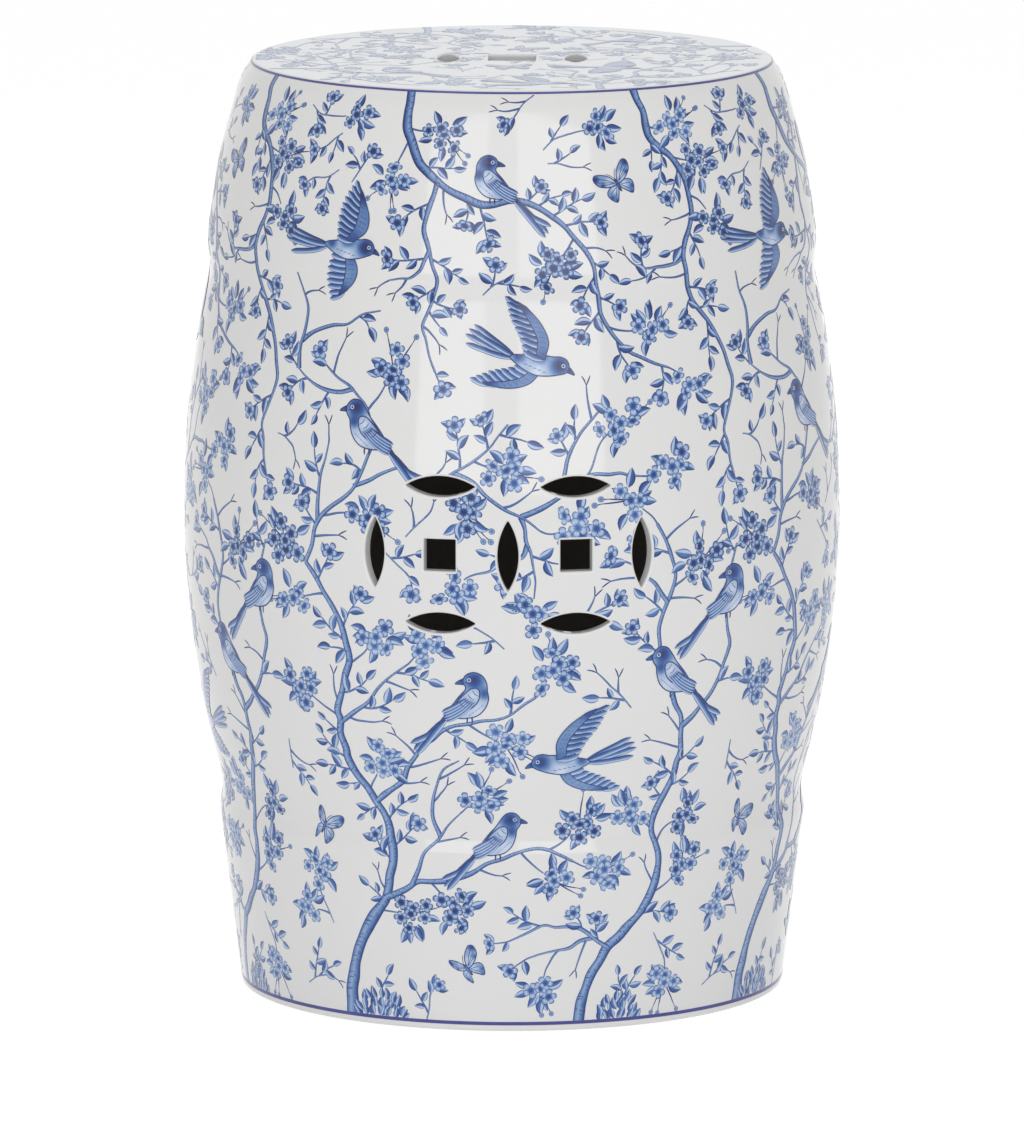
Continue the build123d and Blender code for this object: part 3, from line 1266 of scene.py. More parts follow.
class Drawing:
    """Flat artwork: triangles whose corners hold place, ink and the layer that they are painted in."""

    def __init__(self) -> None:
        """Starts with an empty sheet."""
        self.parts: list[Array] = [np.empty((0, 3, 4))]

    def add(self, points: Array, ink: Array, triangles: Array, layer: float) -> None:
        """Paints triangles.

        Args:
            points: Places on the sheet.
            ink: Ink at each point, from 0 to 1.
            triangles: Point numbers, three to a triangle.
            layer: What lies in a higher layer covers what lies in a lower one.
        """
        corners = np.column_stack([points, ink, np.full(len(points), float(layer))])
        self.parts.append(corners[triangles])

    def corners(self) -> Array:
        """Everything on the sheet: for each triangle, its corners' place, ink and layer."""
        self.parts = [np.concatenate(self.parts)]
        return self.parts[0]

    def strip(self, path: Array, halves: Array | float, lanes: Lanes, layer: float) -> None:
        """Paints a band along a path.

        Args:
            path: Its middle line.
            halves: Half its width, all along or at each point.
            lanes: Its lanes, across.
            layer: Layer to paint in.
        """
        across = left_of(ways_along(path)) * np.broadcast_to(halves, len(path))[:, None]
        offsets, inks = np.array(lanes, float).T
        points = (path[:, None] + across[:, None] * offsets[:, None]).reshape(-1, 2)
        self.add(points, np.tile(inks, len(path)), grid_triangles(len(path), len(offsets)), layer)

    def line(self, points: Points, width: float, layer: float, ink: float = 0.86) -> None:
        """Draws a pen line that swells in the middle.

        Args:
            points: Points that it runs through.
            width: Its width in the middle.
            layer: Layer to paint in.
            ink: Its ink.
        """
        path = smooth(points, 1.2)
        swell = np.sin(np.linspace(0.25, math.pi - 0.25, len(path))) ** 0.5
        self.strip(path, width / 2 * swell, ((-1, ink), (1, ink)), layer)

    def blob(self, outline: Array, rings: Lanes, layer: float) -> None:
        """Paints a rounded shape in rings.

        Args:
            outline: Its edge, in order; its middle is the outline's mean.
            rings: Size of each ring as a share of the outline, from 1 inwards, and its ink, which may
                differ from point to point.
            layer: Layer to paint in.
        """
        points = np.concatenate([*(scaled(outline, size) for size, _ in rings), [outline.mean(0)]])
        ink = np.concatenate([np.broadcast_to(ink, len(outline)) for _, ink in rings])
        ink = np.append(ink, ink[-1])
        around = np.arange(len(outline))
        last = (len(rings) - 1) * len(outline)
        heart = np.full_like(around, len(points) - 1)
        fan = np.stack([last + around, last + np.roll(around, -1), heart], 1)
        rows = grid_triangles(len(rings), len(outline), closed=True)
        self.add(points, ink, np.concatenate([rows, fan]), layer)

    def shape(
        self,
        outline: Points,
        washes: Sequence[tuple[float, float, float, float]],
        layer: float,
        ground: float = 0.1,
        edge: float = 0.55,
        step: float = 1.1,
    ) -> None:
        """Paints a shape with soft washes and draws its edge.

        Args:
            outline: Points that its edge runs through.
            washes: Soft dabs over the ground: place, radius and ink of each.
            layer: Layer to paint in; the edge takes the next one.
            ground: Ink of the bare shape.
            edge: Width of the pen line round it.
            step: Distance between the points that hold the ink.
        """
        rim = smooth(outline, step, closed=True)
        low, high = rim.min(0), rim.max(0)
        steps = [np.arange(start + step / 2, end, step) for start, end in zip(low, high)]
        spots = np.stack(np.meshgrid(*steps), -1).reshape(-1, 2)
        spots = spots[inside(spots, scaled(rim, 0.93))]
        gaps = np.linalg.norm(spots[:, None] - rim[None], axis=2).min(1)
        points = np.concatenate([rim, spots[gaps > step * 0.5]])
        triangles = triangulated(points, [np.arange(len(rim))])
        triangles = triangles[inside(points[triangles].mean(1), rim)]
        ink = np.full(len(points), ground)
        for x, y, radius, strength in washes:
            near = np.clip(1 - np.hypot(points[:, 0] - x, points[:, 1] - y) / radius, 0, 1)
            near = near * near * (3 - 2 * near)
            ink += (strength - ink) * near
        self.add(points, ink, triangles, layer)
        ring = np.concatenate([rim, rim[:1]])
        self.strip(ring, edge / 2, EDGE_LANES, layer + 1)

    def stamp(
        self,
        other: "Drawing",
        at: Sequence[float],
        turn: float = 0.0,
        size: float = 1.0,
        mirrored: bool = False,
        layer: float = 0.0,
        dim: float = 1.0,
    ) -> None:
        """Copies another drawing onto this one.

        Args:
            other: What to copy.
            at: Where its origin goes.
            turn: Turn about its origin, in degrees, counter-clockwise.
            size: How much larger the copy is.
            mirrored: Whether left and right change places before the turn.
            layer: How many layers the copy is raised.
            dim: Share of its ink that is used.
        """
        corners = other.corners().copy()
        along = way_at(math.radians(turn)) * size
        x = corners[..., :1] * (-1 if mirrored else 1)
        corners[..., :2] = np.asarray(at) + x * along + corners[..., 1:2] * left_of(along)
        corners[..., 2] *= dim
        corners[..., 3] += layer
        self.parts.append(corners)


def taper(count: int, start: float, end: float) -> Array:
    """Half widths from a tip to a tip: `start` and `end` are the lengths of the tips as shares."""
    t = np.linspace(0, 1, count)
    return np.sqrt(np.clip(t / start, 0.02, 1) * np.clip((1 - t) / end, 0.02, 1))


def leaf(length: float, width: float, bend: float) -> Drawing:
    """Pointed leaf from the origin along X, dark on one side of its rib and pale on the other.

    Args:
        length: Its length.
        width: Its width.
        bend: How far its middle stands off the straight line.

    Returns:
        The drawing.
    """
    drawing = Drawing()
    path = smooth([(0.0, 0.0), (length * 0.5, bend), (length, 0.0)], length / 6)
    t = np.linspace(0, 1, len(path))
    halves = width / 2 * np.clip(np.sin(math.pi * t**0.85), 0.03, 1) ** 0.85
    drawing.strip(path, halves, LEAF_LANES, 0)
    return drawing


def blade(drawing: Drawing, points: Points, width: float, layer: float) -> None:
    """Paints a feather: a band with a dark edge, a pale one and rounded ends."""
    path = smooth(points, 1.6)
    drawing.strip(path, width / 2 * taper(len(path), 0.3, 0.14), FEATHER_LANES, layer)


def blossom(radius: float, chance: random.Random, open_: float = 1.0) -> Drawing:
    """Plum blossom seen from the front: five round petals, a dark heart and pale tips.

    Args:
        radius: Reach of its petals.
        chance: Source of its unevenness.
        open_: How round it is seen; less than 1 narrows it.

    Returns:
        The drawing, in one layer.
    """
    drawing = Drawing()
    petals, samples = 5, 7
    turn = np.arange(petals * samples) / (petals * samples)
    reach = np.repeat([chance.uniform(0.88, 1.08) for _ in range(petals)], samples)
    phase = (turn * petals) % 1
    round_ = np.sin(math.pi * phase) ** 0.42
    edge = radius * reach * (0.5 + 0.5 * round_)
    ways = unit_turns(turn * 360 + chance.uniform(0, 72)) * (1.0, open_)
    split = np.clip(1 - round_ * 1.25, 0, 1)
    petal_rings = ((1.0, 0.97), (0.86, 0.42), (0.58, 0.16), (0.32, 0.76))
    rings = [(share, ink + (0.95 - ink) * split) for share, ink in petal_rings]
    drawing.blob(ways * edge[:, None], [*rings, (0.1, 0.98)], 0)
    return drawing


def bud(radius: float) -> Drawing:
    """Closed bud on a short stalk that comes from the origin along X.

    Args:
        radius: Its radius.

    Returns:
        The drawing.
    """
    drawing = Drawing()
    drawing.line([(0.0, 0.0), (radius * 1.6, radius * 0.2)], 0.6, 0)
    round_ = unit_turns(np.arange(0, 360, 30)) * (radius * 1.1, radius) + (radius * 2.4, radius * 0.2)
    drawing.blob(round_, ((1.0, 0.92), (0.72, 0.3), (0.3, 0.55)), 1)
    return drawing


# ---- Birds and butterflies ----


def add_face(drawing: Drawing, eye: Points, way: float, layer: float) -> None:
    """Adds a beak under a bird's head and an eye over it.

    Args:
        drawing: Bird to add them to.
        eye: Middle of the eye.
        way: 1 if the bird looks right, -1 if it looks left.
        layer: Layer of the head.
    """
    face = Drawing()
    beak = [(1.6, 0.8), (4.4, 0.2), (6.8, -1.5), (4.4, -1.9), (1.6, -2)]
    face.shape(beak, [(3, 0.5, 2.5, 0.98)], -3, ground=0.7, edge=FINEST_PEN, step=0.9)
    ring = unit_turns(np.arange(0, 360, 40))
    face.blob(ring, ((1, 0.05), (0.62, 0.05), (0.55, 1), (0.2, 1)), 2)
    face.line([(-0.2, -1.5), (1.6, -1.2), (4.2, -1)], FINEST_PEN, 1.9)
    drawing.stamp(face, eye, turn=-4 * way, mirrored=way < 0, layer=layer)


def perched_magpie(looks_back: bool) -> Drawing:
    """Long-tailed bird that sits facing right, its feet at the origin.

    Args:
        looks_back: Whether it turns its head over its back.

    Returns:
        The drawing.
    """
    drawing = Drawing()
    for number, tip in enumerate([(-27.5, -15.5), (-29, -12), (-26, -17.5)]):
        blade(drawing, [(-9, 3.2), (-17, -4.6 - number), tip], 3.1, number * 0.5)
    for foot in (-0.6, 1.8):
        drawing.line([(foot - 0.8, 5), (foot + 0.2, 1.6), (foot, -0.6)], BROAD_PEN, 0)
    body = [(-4.4, 12.4), (-8.6, 6.8), (-11.6, 2.6), (-9.8, 1), (-6, 1.9), (-1.4, 2), (4, 3.2)]
    body += [(8, 6.8), (9.9, 11.6)]
    if looks_back:
        body += [(9.4, 15.8), (9, 19.8), (6.8, 23.4), (2.8, 24.8), (-1, 23), (-2, 19.8), (-0.8, 16.8)]
        eye, way = (0.8, 21), -1
    else:
        body += [(10.4, 15.2), (12.2, 18.2), (12.2, 21.6), (9.4, 24.6), (5.4, 24.4), (2.6, 21.4)]
        body += [(-0.2, 17.2)]
        eye, way = (9.4, 21), 1
    washes = [(-4, 13, 6, 0.8), (-9, 5, 5, 0.75), (5, 5, 6.5, 0.02)]
    washes += [(eye[0] - 2.4 * way, 21, 8, 0.95), (8, 14.6, 5, 0.8)]
    drawing.shape(body, washes, 2, ground=0.2)
    add_face(drawing, eye, way, 3)
    wing = [(5.4, 16.4), (1.8, 16.8), (-3, 12.6), (-7.6, 7.2), (-12.6, 1.4), (-14, -1.4), (-8.4, 2.4)]
    wing += [(-3.2, 4.8), (1.8, 7.2), (5.2, 11.2)]
    washes = [(2.6, 13.4, 4.6, 0.04), (-5.5, 7, 7, 0.65), (-12, 0.5, 5, 0.9)]
    drawing.shape(wing, washes, 4, ground=0.3)
    for number in range(5):
        start = (3.4 - number * 0.9, 10.2 + number * 0.5)
        end = (-10.6 - number * 0.5, -0.2 + number * 1.25)
        bend = ((start[0] + end[0]) / 2 + 0.6, (start[1] + end[1]) / 2 - 0.9 + number * 0.2)
        blade(drawing, [start, bend, end], 1.9, 6 + number * 0.4)
    for number in range(4):
        x, y = 4.6 - number * 2.1, 15.6 - number * 1.9
        drawing.line([(x - 2.2, y + 0.3), (x - 1, y - 1.6), (x + 0.6, y - 2.4)], FINE_PEN, 8.5)
    for number in range(5):
        x, y = 7.6 - number * 1.5, 9.0 - number * 1.2
        drawing.line([(x, y), (x - 1.3, y - 0.9)], FINE_PEN, 4.5, 0.7)
    return drawing


def spread_wing(arm: Points, trailing: Points, feathers: int, layer: float) -> Drawing:
    """Spread wing.

    Args:
        arm: Points along its leading edge, from the shoulder to the tip.
        trailing: Points along its trailing edge, from the body to the tip.
        feathers: Number of flight feathers.
        layer: First layer; it takes five.

    Returns:
        The drawing.
    """
    drawing = Drawing()
    lead, trail = smooth(arm, 0.5), smooth(trailing, 0.5)
    for number in range(feathers):
        share = number / (feathers - 1)
        root = lead[round(share * 0.92 * (len(lead) - 1))]
        tip = trail[round(share * (len(trail) - 1))]
        side = left_of(tip - root) * 0.06
        blade(drawing, [root, (root + tip) / 2 + side, tip], 3.5 - share * 0.8, layer + 3.0 * (1 - share))
    band = [np.array(front) * 0.62 + np.array(back) * 0.38 for front, back in zip(arm, trailing)]
    covert = np.concatenate([lead[::3], smooth(band, 1.2)[::-1]])
    middle = covert.mean(0)
    washes = [(*lead[0], 8, 0.7), (*middle, 6, 0.45), (*lead[-1], 8, 0.85)]
    drawing.shape(covert[::2], washes, layer + 3.4, ground=0.5, edge=0.5)
    for row in (0.16, 0.28):
        for share in np.linspace(0.08, 0.86, feathers):
            front, back = (side[round(share * (len(side) - 1))] for side in (lead, trail))
            start, end = (front + (back - front) * (row + half) for half in (-0.06, 0.06))
            drawing.line([start, end + (0.5, 0.3)], FINE_PEN, layer + 5)
    return drawing


def flying_magpie(near: tuple[Points, Points], far: tuple[Points, Points], tail: Points) -> Drawing:
    """Bird in flight towards the right, about its own middle.

    Args:
        near: Leading and trailing edge of the wing in front.
        far: The same of the wing behind.
        tail: Tips of its tail feathers.

    Returns:
        The drawing.
    """
    drawing = Drawing()
    drawing.stamp(spread_wing(*far, 9, 0), (0, 0), dim=0.9)
    for number, tip in enumerate(tail):
        middle = (-19, (tip[1] - 1.5) / 2)
        blade(drawing, [(-9, -0.6), middle, tip], 2.8, 5.5 + number * 0.4)
    body = [(15.4, 5.6), (13, 8.2), (9.6, 8.4), (6, 7), (0.5, 5.8), (-6, 3), (-11.5, 0.6)]
    body += [(-12.6, -1.2), (-9.5, -2.6), (-4, -4), (2, -4.2), (7.4, -2.4), (11.8, 0), (15.2, 2.6)]
    washes = [(0, 6, 7, 0.8), (-9, 1, 5, 0.75), (2, -2.5, 5.5, 0.02), (11, 4.6, 7.5, 0.95)]
    drawing.shape(body, washes, 8, ground=0.24)
    add_face(drawing, (12.6, 5), 1, 9)
    for number in range(5):
        x = 6.0 - number * 2.4
        drawing.line([(x, -1), (x - 1.8, -1.6)], FINE_PEN, 9.5, 0.7)
    drawing.stamp(spread_wing(*near, 10, 0), (0, 0), layer=10)
    return drawing


def butterfly(fold: float) -> Drawing:
    """Butterfly seen from above, heading up.

    Args:
        fold: Width of its left wings against the right ones.

    Returns:
        The drawing.
    """
    half = Drawing()
    hind = [(0.6, -0.6), (4.2, 0.4), (8.2, -1.6), (8.4, -5.2), (5.6, -9.2), (3, -6.4), (1, -3.2)]
    half.shape(hind, [(3, -2, 4, 0.05), (7.2, -5.6, 2.6, 0.75), (5.2, -8.4, 2.2, 0.8)], 0, ground=0.36)
    fore = [(0.4, 1.6), (3.4, 7.2), (9.4, 11), (12, 9.2), (10.8, 4.4), (6.2, 1), (1.4, -0.2)]
    half.shape(fore, [(4, 3.4, 4.4, 0.05), (11, 9, 4, 0.9), (8.6, 3.4, 2.2, 0.75)], 2, ground=0.36)
    for number, (x, y) in enumerate([(10.2, 9.2), (10.6, 6.6), (9.2, 4)]):
        half.line([(1.2, 1.2), (x * 0.55, y * 0.62), (x, y)], FINE_PEN, 4 + number * 0.1, 0.85)
    for number, tip in enumerate([(7.4, -3.2), (5.8, -7.2)]):
        half.line([(1, -1), tip], FINE_PEN, 4.3 + number * 0.1, 0.85)
    drawing = Drawing()
    drawing.stamp(half, (0.3, 0))
    left = half.corners().copy()
    left[..., 0] *= -fold
    drawing.parts.append(left)
    body = unit_turns(np.arange(0, 360, 30)) * (0.95, 4.6) + (0, -0.6)
    drawing.blob(body, ((1, 1), (0.5, 0.6)), 5)
    for side in (-1, 1):
        feeler = [(0, 3.6), (side * 1.8, 6.8), (side * 3.6, 8.6)]
        drawing.line(feeler, FINEST_PEN, 4.8 + side * 0.1)
    return drawing


# ---- Composition of the print ----


class Bloom(Enum):
    """What a side shoot ends in, with the room that it needs round its end."""

    CLUSTER = 10.8
    SINGLE = 6.0
    LEAVES = 5.0
    BARE = 3.5


class Tier(Enum):
    """Layers of each kind of motif: its lowest, and the step between its heights."""

    TWIG = (0.1, 0.05)
    STALK = (1.9, 0.02)
    LIMB = (2.4, 0.05)
    BARK = (4.0, 0.012)
    BUD = (4.32, 0.05)
    LEAF = (4.4, 0.175)
    BLOSSOM = (10.0, 0.018)
    WINGED = (15.0, 0.0)


class Pose(Enum):
    """How a bird is shown, with the round patches that it covers: place and radius of each."""

    CALM = ((-1.0, 10.0, 11.5), (7.0, 20.0, 8.0), (-20.0, -8.0, 9.0))
    LOOKING_BACK = ((-1.0, 10.0, 11.5), (2.0, 20.0, 8.5), (-20.0, -8.0, 9.0))
    SOARING = ((2.0, 2.0, 13.0), (2.0, 19.0, 13.0), (2.0, -14.0, 12.0), (-24.0, -4.0, 10.0))
    DIVING = ((2.0, 2.0, 13.0), (-6.0, 18.0, 12.0), (-8.0, -12.0, 12.0), (-26.0, 2.0, 10.0))


@dataclass(frozen=True)
class Bird:
    """A bird on a sheet: its pose and place, whether it faces left, its size and its turn in degrees."""

    pose: Pose
    at: Sequence[float]
    mirrored: bool = False
    size: float = 1.08
    turn: float = 0.0

    def patches(self) -> list[tuple[Array, float]]:
        """Works out the round patches that it covers: place and radius of each.

        Returns:
            Place and radius of each patch.
        """
        flip = np.array([-1.0 if self.mirrored else 1.0, 1.0])
        spin = spun(math.radians(self.turn))
        return [
            (np.asarray(self.at) + (np.array([x, y]) * flip * self.size) @ spin, radius * self.size)
            for x, y, radius in self.pose.value
        ]


class Motifs:
    """The drawings that the print is stamped with."""

    def __init__(self, chance: random.Random) -> None:
        """Draws each motif once.

        Args:
            chance: Source of their unevenness.
        """
        self.blossoms = [blossom(1.0, chance, open_) for open_ in (1.0, 0.95, 1.0, 0.72)]
        self.leaves = [leaf(LEAF_LENGTH, LEAF_WIDTH, bend) for bend in (-0.9, -0.3, 0.4, 1.0)]
        self.bud = bud(BUD_RADIUS)
        soaring_near = [(3, 5), (8.5, 12), (7.5, 20), (1, 29)]
        soaring_far = [(4, 0), (9.5, -7), (9, -14), (4, -22)]
        diving_near = [(3, 4), (1.5, 13), (-6, 20), (-17, 25)]
        diving_far = [(4, 0), (1, -9), (-7, -15), (-18, -18)]
        self.birds = {
            Pose.CALM: perched_magpie(looks_back=False),
            Pose.LOOKING_BACK: perched_magpie(looks_back=True),
            Pose.SOARING: flying_magpie(
                (soaring_near, [(-7, 5), (-9.5, 14), (-9.5, 25), (-6, 35)]),
                (soaring_far, [(-7, -2), (-7.5, -11), (-6.5, -19), (-3, -27)]),
                [(-36, -1), (-37, -7), (-33, -12), (-36.5, -4)],
            ),
            Pose.DIVING: flying_magpie(
                (diving_near, [(-8, 4), (-13, 10), (-20, 16), (-27, 25)]),
                (diving_far, [(-7, -2), (-12, -6.5), (-19, -11), (-26, -18)]),
                [(-35, 6), (-37, 0), (-36.5, 3), (-35, -4)],
            ),
        }
        self.butterflies = [butterfly(1.0), butterfly(0.55)]


@dataclass(frozen=True)
class Habit:
    """How the plum grows, in millimetres and radians.

    A pair holds the least and the most of what varies, and a spread is the most to either side.
    """

    knot_spacing: float = 8.0
    limb_spread: float = 0.5
    limb_swell: Pair = (-0.14, 0.2)
    limb_taper: float = 0.8
    limb_sinking: float = 20.0
    limb_room: float = 0.6
    thick_limb: float = 3.0
    bark_spread: float = 0.8
    bark_slant: float = 1.1
    bark_length: Pair = (0.5, 1.1)
    bark_pen: float = 0.5
    leaf_length: Pair = (6.5, 9.8)
    leaf_ink: Pair = (0.82, 1.04)
    leaf_middle: float = 0.6
    leaf_room: float = 2.4
    blossom_ink: Pair = (0.88, 1.12)
    blossom_radius: Pair = (4.5, 5.5)
    blossom_spacing: float = 4.3
    blossom_turn: float = 137.5
    blossom_step: float = 0.6
    bunch_size: tuple[int, int] = (4, 7)
    bunch_shape: Pair = (1.15, 0.9)
    bunch_ink: Pair = (0.75, 1.15)
    bunch_leaves: tuple[int, int] = (5, 7)
    bunch_margin: float = 2.0
    bunch_room: float = 1.5
    bunch_leaf_length: Pair = (8.5, 10.5)
    bunch_leaf_spread: float = 2.7
    bunch_leaf_turn: float = 0.4
    bunch_leaf_root: Pair = (0.3, 0.75)
    bunch_buds: tuple[int, int] = (0, 3)
    bud_reach: Pair = (2.5, 6.0)
    bud_spread: float = 0.8
    shoot_bend: float = 0.7
    shoot_spread: float = 0.14
    shoot_room: float = 2.4
    end_half: float = 0.5
    tip_half: float = 0.36
    bare_twigs: Pair = (-0.45, 0.4)
    bare_reach: float = 5.5
    bare_pen: float = 0.75
    shoot_length: Pair = (8.0, 20.0)
    end_length: Pair = (7.0, 12.0)
    leaf_spacing: float = 5.5
    leaf_lean: Pair = (0.7, 1.05)
    lone_blossom_radius: Pair = (4.5, 5.4)
    pair_lean: float = 0.9
    uneven_spacing: Pair = (0.75, 1.25)
    bloom_weights: tuple[float, ...] = (6, 3, 4, 1.5)
    fork_lean: Pair = (0.5, 1.1)
    fork_bend: float = 1.1
    fork_spread: float = 0.25
    fork_room: float = 6.5
    spray_reach: float = 0.7
    spray_bend: float = 0.3
    spray_widths: Pair = (0.7, 1.0)
    spray_spacing: float = 5.5
    spray_bare: float = 0.3
    spray_lean: Pair = (0.4, 0.85)
    bush_rows: int = 3
    bush_row_drop: float = 5.5
    bush_spacing: float = 2.6
    bush_lean: float = 0.5
    bush_leaf_turn: float = 0.35
    bush_leaf_length: Pair = (6.5, 8.5)
    bush_shoots: int = 3
    bush_shoot_length: float = 13.0


@dataclass
class Garden:
    """Grows a print on one sheet and keeps its motifs apart.

    repeat is the width after which the sheet comes round to itself, or 0, and edge is the outline that
    shoots stay inside. The first patch taken lies far away, so that the list is never empty.
    """

    repeat: float
    edge: Array
    motifs: Motifs
    chance: random.Random
    habit: Habit = Habit()
    heights: int = 32
    butterfly_size: float = 0.95
    butterfly_room: float = 13.0
    height: int = 0
    drawing: Drawing = field(default_factory=Drawing)
    taken: list[Triple] = field(default_factory=lambda: [(0.0, -1e4, 1.0)])

    def vary(self, limits: Pair) -> float:
        """Draws a number between two limits."""
        return self.chance.uniform(*limits)

    def sway(self, most: float) -> float:
        """Draws a number of either sign, up to the most."""
        return self.chance.uniform(-most, most)

    def somewhere(self) -> Array:
        """Draws a place within the edge's reach."""
        low, high = self.edge.min(0), self.edge.max(0)
        return np.array([self.chance.uniform(*limits) for limits in zip(low, high)])

    def next_layer(self, tier: Tier, sunk: float = 0.0) -> float:
        """Hands out a tier's layers in turn, so that motifs that touch never share one.

        Args:
            tier: Kind of the motif.
            sunk: How much lower than its tier it lies.

        Returns:
            The layer.
        """
        self.height = (self.height + 1) % self.heights
        lowest, step = tier.value
        return lowest - sunk + self.height * step

    def free(self, at: Array, radius: float) -> bool:
        """Tells whether a round patch is empty and its middle inside the edge.

        Args:
            at: Its middle.
            radius: Its radius.

        Returns:
            Whether a motif may go there.
        """
        taken = np.array(self.taken)
        gaps = taken[:, :2] - at
        if self.repeat:
            gaps[:, 0] = (gaps[:, 0] + self.repeat / 2) % self.repeat - self.repeat / 2
        clear = (np.hypot(*gaps.T) > radius + taken[:, 2]).all()
        return bool(clear and inside(np.atleast_2d(at), self.edge)[0])

    def _held(self, at: Array, radius: float) -> bool:
        """Tells whether a round patch lies wholly inside the edge."""
        return bool(inside(at + radius * unit_turns(np.arange(0, 360, 30)), self.edge).all())

    def take(self, at: Sequence[float], radius: float) -> None:
        """Marks a round patch as covered."""
        self.taken.append((float(at[0]), float(at[1]), radius))

    def limb(self, points: Points, start: float, end: float) -> Array:
        """Paints a limb with marks of bark, closer on a thick one.

        Args:
            points: Points that it runs through.
            start: Its width where it starts.
            end: Its width where it ends.

        Returns:
            Its middle line.
        """
        habit = self.habit
        coarse = smooth(points, habit.knot_spacing)
        coarse[1:-1] += [[self.chance.gauss(0, habit.limb_spread) for _ in range(2)] for _ in coarse[1:-1]]
        path = smooth(coarse, 2.0)
        share = np.linspace(0, 1, len(path))
        swells = [1 + self.vary(habit.limb_swell) for _ in coarse]
        halves = (start + (end - start) * share**habit.limb_taper) / 2
        halves *= np.interp(share, np.linspace(0, 1, len(coarse)), swells)
        self.drawing.strip(path, halves, BRANCH_LANES, self.next_layer(Tier.LIMB, start / habit.limb_sinking))
        for place, half in list(zip(path, halves))[::2]:
            self.take(place, half + habit.limb_room)
        ways = ways_along(path)
        for number in range(2, len(path) - 2, 1 if start > habit.thick_limb else 3):
            way = ways[number]
            across = self.chance.choice((-1, 1)) * halves[number] * left_of(way)
            root = path[number] + across * 0.9 + way * self.sway(habit.bark_spread)
            tip = root - across * self.vary(habit.bark_length) + way * habit.bark_slant
            self.drawing.line([root, tip], habit.bark_pen, self.next_layer(Tier.BARK), 0.8)
        return path

    def add_bird(self, bird: Bird) -> None:
        """Places a bird and marks what it covers.

        Args:
            bird: The bird.
        """
        drawing, layer = self.motifs.birds[bird.pose], Tier.WINGED.value[0]
        self.drawing.stamp(drawing, bird.at, bird.turn, bird.size, bird.mirrored, layer)
        for place, radius in bird.patches():
            self.take(place, radius)

    def perch(self, path: Array, share: float, bird: Bird) -> None:
        """Sets a bird on a limb.

        Args:
            path: The limb's middle line.
            share: How far along it the feet are, from 0 to 1.
            bird: The bird, whose place is how far its feet stand off that line.
        """
        self.add_bird(replace(bird, at=path[round(share * (len(path) - 1))] + bird.at))

    def release(self, pose: Pose, size: float, tries: int = 4000) -> None:
        """Lets a bird fly wherever it finds room.

        Args:
            pose: Its pose.
            size: Its size.
            tries: Number of places to try.
        """
        for _ in range(tries):
            at = self.somewhere()
            bird = Bird(pose, at, self.chance.random() < 0.5, size, self.sway(40.0))
            patches = bird.patches()
            if all(self.free(place, radius - 1) and self._held(place, radius) for place, radius in patches):
                self.add_bird(bird)
                return

    def add_butterfly(self, at: Sequence[float], turn: float, folded: bool) -> None:
        """Places a butterfly and marks what it covers."""
        drawing, layer = self.motifs.butterflies[folded], Tier.WINGED.value[0]
        self.drawing.stamp(drawing, at, turn, self.butterfly_size, layer=layer)
        self.take(at, self.butterfly_room)

    def leaf_at(self, at: Array, heading: float, length: float = 0.0) -> None:
        """Paints a leaf.

        Args:
            at: Its root.
            heading: Way in which it points.
            length: Its length; 0 draws one.
        """
        habit = self.habit
        length = length or self.vary(habit.leaf_length)
        drawing = self.chance.choice(self.motifs.leaves)
        mirrored = self.chance.random() < 0.5
        turn = math.degrees(heading) + (180 if mirrored else 0)
        layer = self.next_layer(Tier.LEAF)
        ink = self.vary(habit.leaf_ink)
        self.drawing.stamp(drawing, at, turn, length / LEAF_LENGTH, mirrored, layer, ink)
        self.take(at + way_at(heading) * length * habit.leaf_middle, habit.leaf_room)

    def bloom_at(self, at: Array, radius: float, layer: float, tone: float = 0.95) -> None:
        """Paints a blossom.

        Args:
            at: Its middle.
            radius: Reach of its petals.
            layer: Layer to paint in.
            tone: Share of its ink that is used, before chance changes it.
        """
        drawing = self.chance.choice(self.motifs.blossoms)
        turn, ink = self.chance.uniform(0, 360), self.vary(self.habit.blossom_ink) * tone
        self.drawing.stamp(drawing, at, turn, radius, layer=layer, dim=ink)

    def cluster(self, at: Array, heading: float, count: int) -> None:
        """Paints a bunch of blossoms with leaves and buds round it.

        Args:
            at: Its middle.
            heading: Way in which the bunch points.
            count: Number of blossoms.
        """
        habit = self.habit
        along = way_at(heading)
        across = left_of(along)
        phase = self.chance.uniform(0, 360)
        counts = np.arange(count)
        spots = unit_turns(phase + counts * habit.blossom_turn)
        spots *= (habit.blossom_spacing * np.sqrt(counts))[:, None]
        reach = habit.blossom_spacing * math.sqrt(count - 1) + habit.bunch_margin
        tone = self.vary(habit.bunch_ink)
        for _ in range(self.chance.randint(*habit.bunch_leaves)):
            side = heading + self.sway(habit.bunch_leaf_spread)
            root = at + reach * self.vary(habit.bunch_leaf_root) * way_at(side)
            way = side + self.sway(habit.bunch_leaf_turn)
            self.leaf_at(root, way, self.vary(habit.bunch_leaf_length))
        for _ in range(self.chance.randint(*habit.bunch_buds)):
            side = heading + self.sway(habit.bud_spread)
            end = at + way_at(side) * (reach + self.vary(habit.bud_reach))
            middle = (at + end) / 2 + across * self.sway(1.0)
            self.drawing.line([at, middle, end], BROAD_PEN, self.next_layer(Tier.STALK))
            layer = self.next_layer(Tier.BUD)
            self.drawing.stamp(self.motifs.bud, end, math.degrees(side), layer=layer)
        layer = self.next_layer(Tier.BLOSSOM)
        for number in reversed(range(count)):
            x, y = spots[number] * habit.bunch_shape
            radius = self.vary(habit.blossom_radius)
            step = habit.blossom_step * (count - number)
            self.bloom_at(at + along * x + across * y, radius, layer + step, tone)
